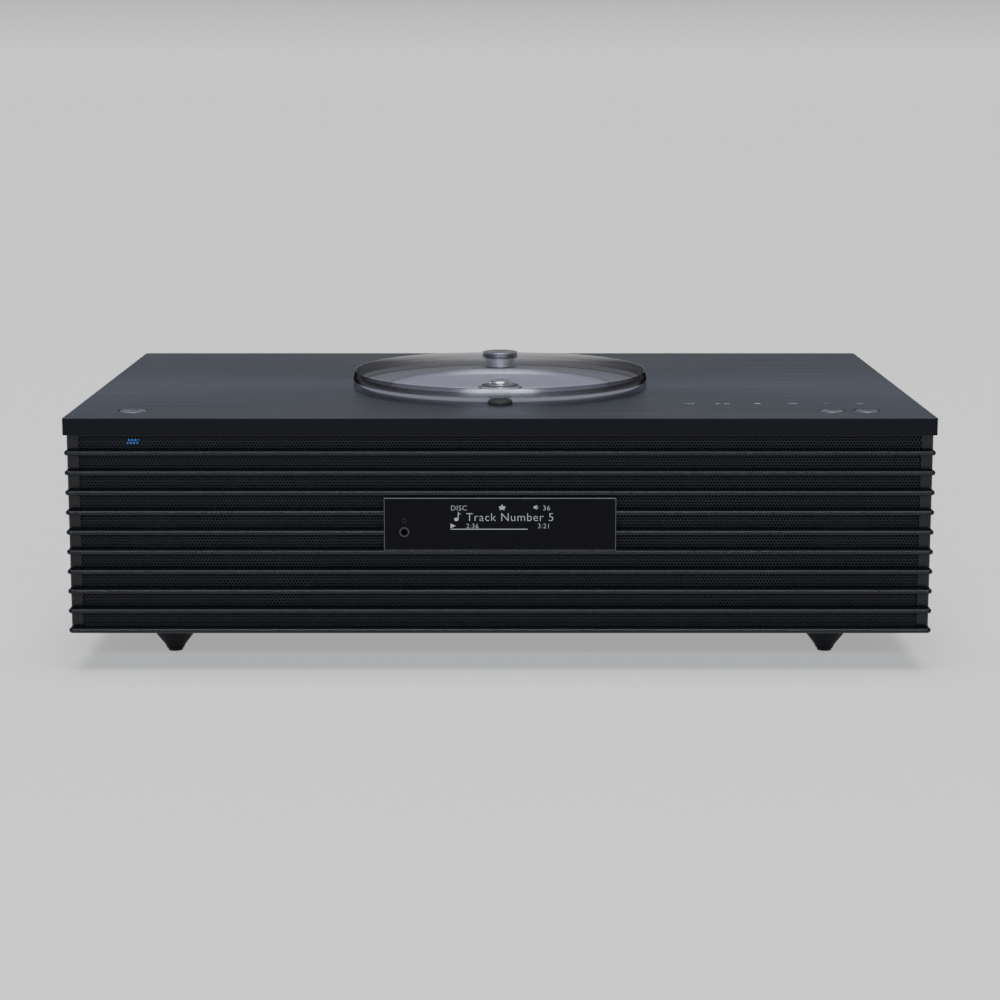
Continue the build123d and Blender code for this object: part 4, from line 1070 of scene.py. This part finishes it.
AERIAL_LOW, AERIAL_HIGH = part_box("antenna_terminals")
AERIAL_RADIUS = 4.5 * MM
THREAD_DEPTH = 0.18 * MM
THREAD_PITCH = 0.8 * MM
THREAD_SIDES = 40
THREAD_TURNS = 7
wear(NICKEL_FINISH, "antenna_terminals")


def thread_ridge(work):
    """One turn of thread: a ring with a pointed outline round a front-to-back axis."""
    outline = [(AERIAL_RADIUS - 0.05 * MM, 0.0), (AERIAL_RADIUS + THREAD_DEPTH, THREAD_PITCH / 2),
               (AERIAL_RADIUS - 0.05 * MM, THREAD_PITCH)]
    rings = []
    for radius, y in outline:
        turns = [2 * math.pi * n / THREAD_SIDES for n in range(THREAD_SIDES)]
        rings.append([work.verts.new((radius * math.cos(t), y, radius * math.sin(t))) for t in turns])
    for one, two in zip(rings, rings[1:] + rings[:1]):
        for n in range(THREAD_SIDES):
            after = (n + 1) % THREAD_SIDES
            work.faces.new((one[n], two[n], two[after], one[after]))
    bmesh.ops.recalc_face_normals(work, faces=work.faces)


AERIAL_GAP = 26.0 * MM
aerial_middle = (AERIAL_LOW.x + AERIAL_HIGH.x) / 2
for name, x in (("left", aerial_middle - AERIAL_GAP / 2), ("right", aerial_middle + AERIAL_GAP / 2)):
    thread = mesh_piece(f"aerial_thread_{name}", thread_ridge)
    run_tree(thread, row_tree(), Count=THREAD_TURNS, Step=(0.0, THREAD_PITCH, 0.0), Finish=NICKEL_FINISH,
             Start=(x, REAR_FACE + 1.2 * MM, (AERIAL_LOW.z + AERIAL_HIGH.z) / 2))
    finish_piece(baked(thread), "root", None)

# ---- Case screws ----
# Black pan-head screws with crossed recesses: four hold the rear panel and six the bottom plate.

SCREW_BLACK = (0.05, 0.05, 0.053)
SCREW_FINISH = grained("black_screw", SCREW_BLACK, 0.35, 1500.0, 0.00001, metallic=0.8)
HEAD_RADIUS = 2.8
HEAD_THICK = 1.6
RECESS_ARM = (1.5, 0.35)
RECESS_DEPTH = 0.9
SHANK_RADIUS = 1.45
SHANK_LENGTH = 8.0
SCREW_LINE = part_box("case_screws")[1].x - HEAD_RADIUS * MM
REAR_SCREW_Z = (53.5 * MM, 109.5 * MM)
BOTTOM_SCREW_Y = (-105.0 * MM, 25.0 * MM, 100.0 * MM)


def crossed_screw(name):
    """A pan-head screw that stands on its head's seat, with a crossed recess in the head."""
    screw = turned_piece(name, [
        (0, HEAD_THICK), (HEAD_RADIUS - 1.0, HEAD_THICK, 0.3), (HEAD_RADIUS, HEAD_THICK - 0.7, 0.4),
        (HEAD_RADIUS, 0), (SHANK_RADIUS, 0), (SHANK_RADIUS, -SHANK_LENGTH), (0, -SHANK_LENGTH)], sides=32)
    for number, (across, along) in enumerate((RECESS_ARM, RECESS_ARM[::-1])):
        tool = mesh_piece(f"{name}_recess_{number}", lambda work: box_faces(
            work, (-across * MM, -along * MM, (HEAD_THICK - RECESS_DEPTH) * MM),
            (across * MM, along * MM, (HEAD_THICK + 1) * MM)))
        cutter = screw.modifiers.new("recess", "BOOLEAN")
        cutter.object = tool
        cutter.solver = "EXACT"
        baked(screw)
        bpy.data.objects.remove(tool)
    return screw


def scatter_tree():
    """Repeats a shape at the points of another object, all turned the same way."""
    tree = new_tree("scatter", Places="Object", Turn="Vector", Finish="Material")
    given = tree.nodes.new("NodeGroupInput").outputs
    places = tree_node(tree, "GeometryNodeObjectInfo", Object=given["Places"])
    placed = tree_node(tree, "GeometryNodeInstanceOnPoints", Points=places.outputs["Geometry"],
                       Instance=given["Geometry"], Rotation=given["Turn"])
    return close_tree(tree, placed.outputs[0], given["Finish"])


SCATTER = scatter_tree()
rear_places = [(side * SCREW_LINE, REAR_FACE, z) for side in (-1, 1) for z in REAR_SCREW_Z]
bottom_places = [(side * SCREW_LINE, y, FRAME_LOW.z) for side in (-1, 1) for y in BOTTOM_SCREW_Y]
for name, places, turn in (("rear_screws", rear_places, (-math.pi / 2, 0.0, 0.0)),
                           ("bottom_screws", bottom_places, (math.pi, 0.0, 0.0))):
    points = bpy.data.meshes.new(f"{name}_places")
    points.from_pydata(places, [], [])
    marker = show(bpy.data.objects.new(f"{name}_places", points))
    screws = crossed_screw(name)
    run_tree(screws, SCATTER, Places=marker, Turn=turn, Finish=SCREW_FINISH)
    baked(screws)
    bpy.data.objects.remove(marker)
    smooth(screws)
    finish_piece(screws, "root", None, ("case_screws",))

# ---- Table, light and camera ----
# A pale table that glows a little, a soft room with a bright horizon, one large lamp overhead,
# and two wide soft lamps: one in front for the lines along the fins, one behind for the top.

CAMERA_PLACE = (0.0, -1.282, 0.305)
CAMERA_PITCH = 8.76
CAMERA_LENS = 81.05
CAMERA_SHIFT = -0.0722


def studio_floor(work):
    """A wide flat sheet under the feet."""
    box_faces(work, (-60.0, -60.0, -0.02), (60.0, 60.0, 0.0))


FLOOR_WHITE = (0.52, 0.52, 0.52)
FLOOR_GLOW = 0.42
floor = mesh_piece("studio_floor", studio_floor)
floor.data.materials.append(new_finish("floor_white", FLOOR_WHITE, 0.9, Specular_IOR_Level=0.0,
                                       Emission_Color=(1.0, 1.0, 1.0, 1.0), Emission_Strength=FLOOR_GLOW))
floor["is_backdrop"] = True


def band_lit_world(name, low, high, near, above):
    """A pale horizon that fades to a dim room above it, by the height of each direction."""
    world = bpy.data.worlds.new(name)
    world.use_nodes = True
    direction = add_node(world, "ShaderNodeTexCoord")
    split = add_node(world, "ShaderNodeSeparateXYZ")
    fade = add_node(world, "ShaderNodeMapRange")
    for key, value in zip(("From Min", "From Max", "To Min", "To Max"), (low, high, near, above)):
        fade.inputs[key].default_value = value
    background = world.node_tree.nodes["Background"]
    background.inputs["Color"].default_value = (1.0, 1.0, 1.0, 1.0)
    join(world, direction.outputs["Generated"], split.inputs["Vector"],
         split.outputs["Z"], fade.inputs["Value"], fade.outputs["Result"], background.inputs["Strength"])
    return world


SKY_POWER = 3.1
SKY_SPREAD = math.radians(45)
SKY_LEAN = math.radians(4)
LAMP_AIM = Vector((0.0, 0.0, 0.1))
bpy.context.scene.world = band_lit_world("soft_room", low=0.01, high=0.07, near=1.05, above=0.16)
sky = bpy.data.lights.new("overhead_sky", "SUN")
sky.energy = SKY_POWER
sky.angle = SKY_SPREAD
sky_lamp = bpy.data.objects.new("overhead_sky", sky)
sky_lamp.rotation_euler = (SKY_LEAN, 0.0, 0.0)
show(sky_lamp)


def softbox(name, width, height, energy, colour, place):
    """A rectangular soft lamp that faces the object."""
    lamp = bpy.data.lights.new(name, "AREA")
    lamp.shape = "RECTANGLE"
    lamp.size = width
    lamp.size_y = height
    lamp.energy = energy
    lamp.color = colour
    stand = bpy.data.objects.new(name, lamp)
    stand.location = place
    stand.rotation_euler = (LAMP_AIM - stand.location).to_track_quat("-Z", "Y").to_euler()
    show(stand)


softbox("front_softbox", width=2.6, height=0.15, energy=38.0, colour=(0.77, 0.87, 1.0),
        place=(0.0, -2.6, 1.25))
softbox("rear_softbox", width=3.0, height=0.4, energy=3.5, colour=(0.78, 0.87, 1.0), place=(0.0, 3.2, 1.45))

camera_data = bpy.data.cameras.new("camera")
camera_data.lens = CAMERA_LENS
camera_data.shift_y = CAMERA_SHIFT
camera = bpy.data.objects.new("camera", camera_data)
camera.location = CAMERA_PLACE
camera.rotation_euler = (math.radians(90 - CAMERA_PITCH), 0.0, 0.0)
show(camera)
bpy.context.scene.camera = camera

low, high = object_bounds()
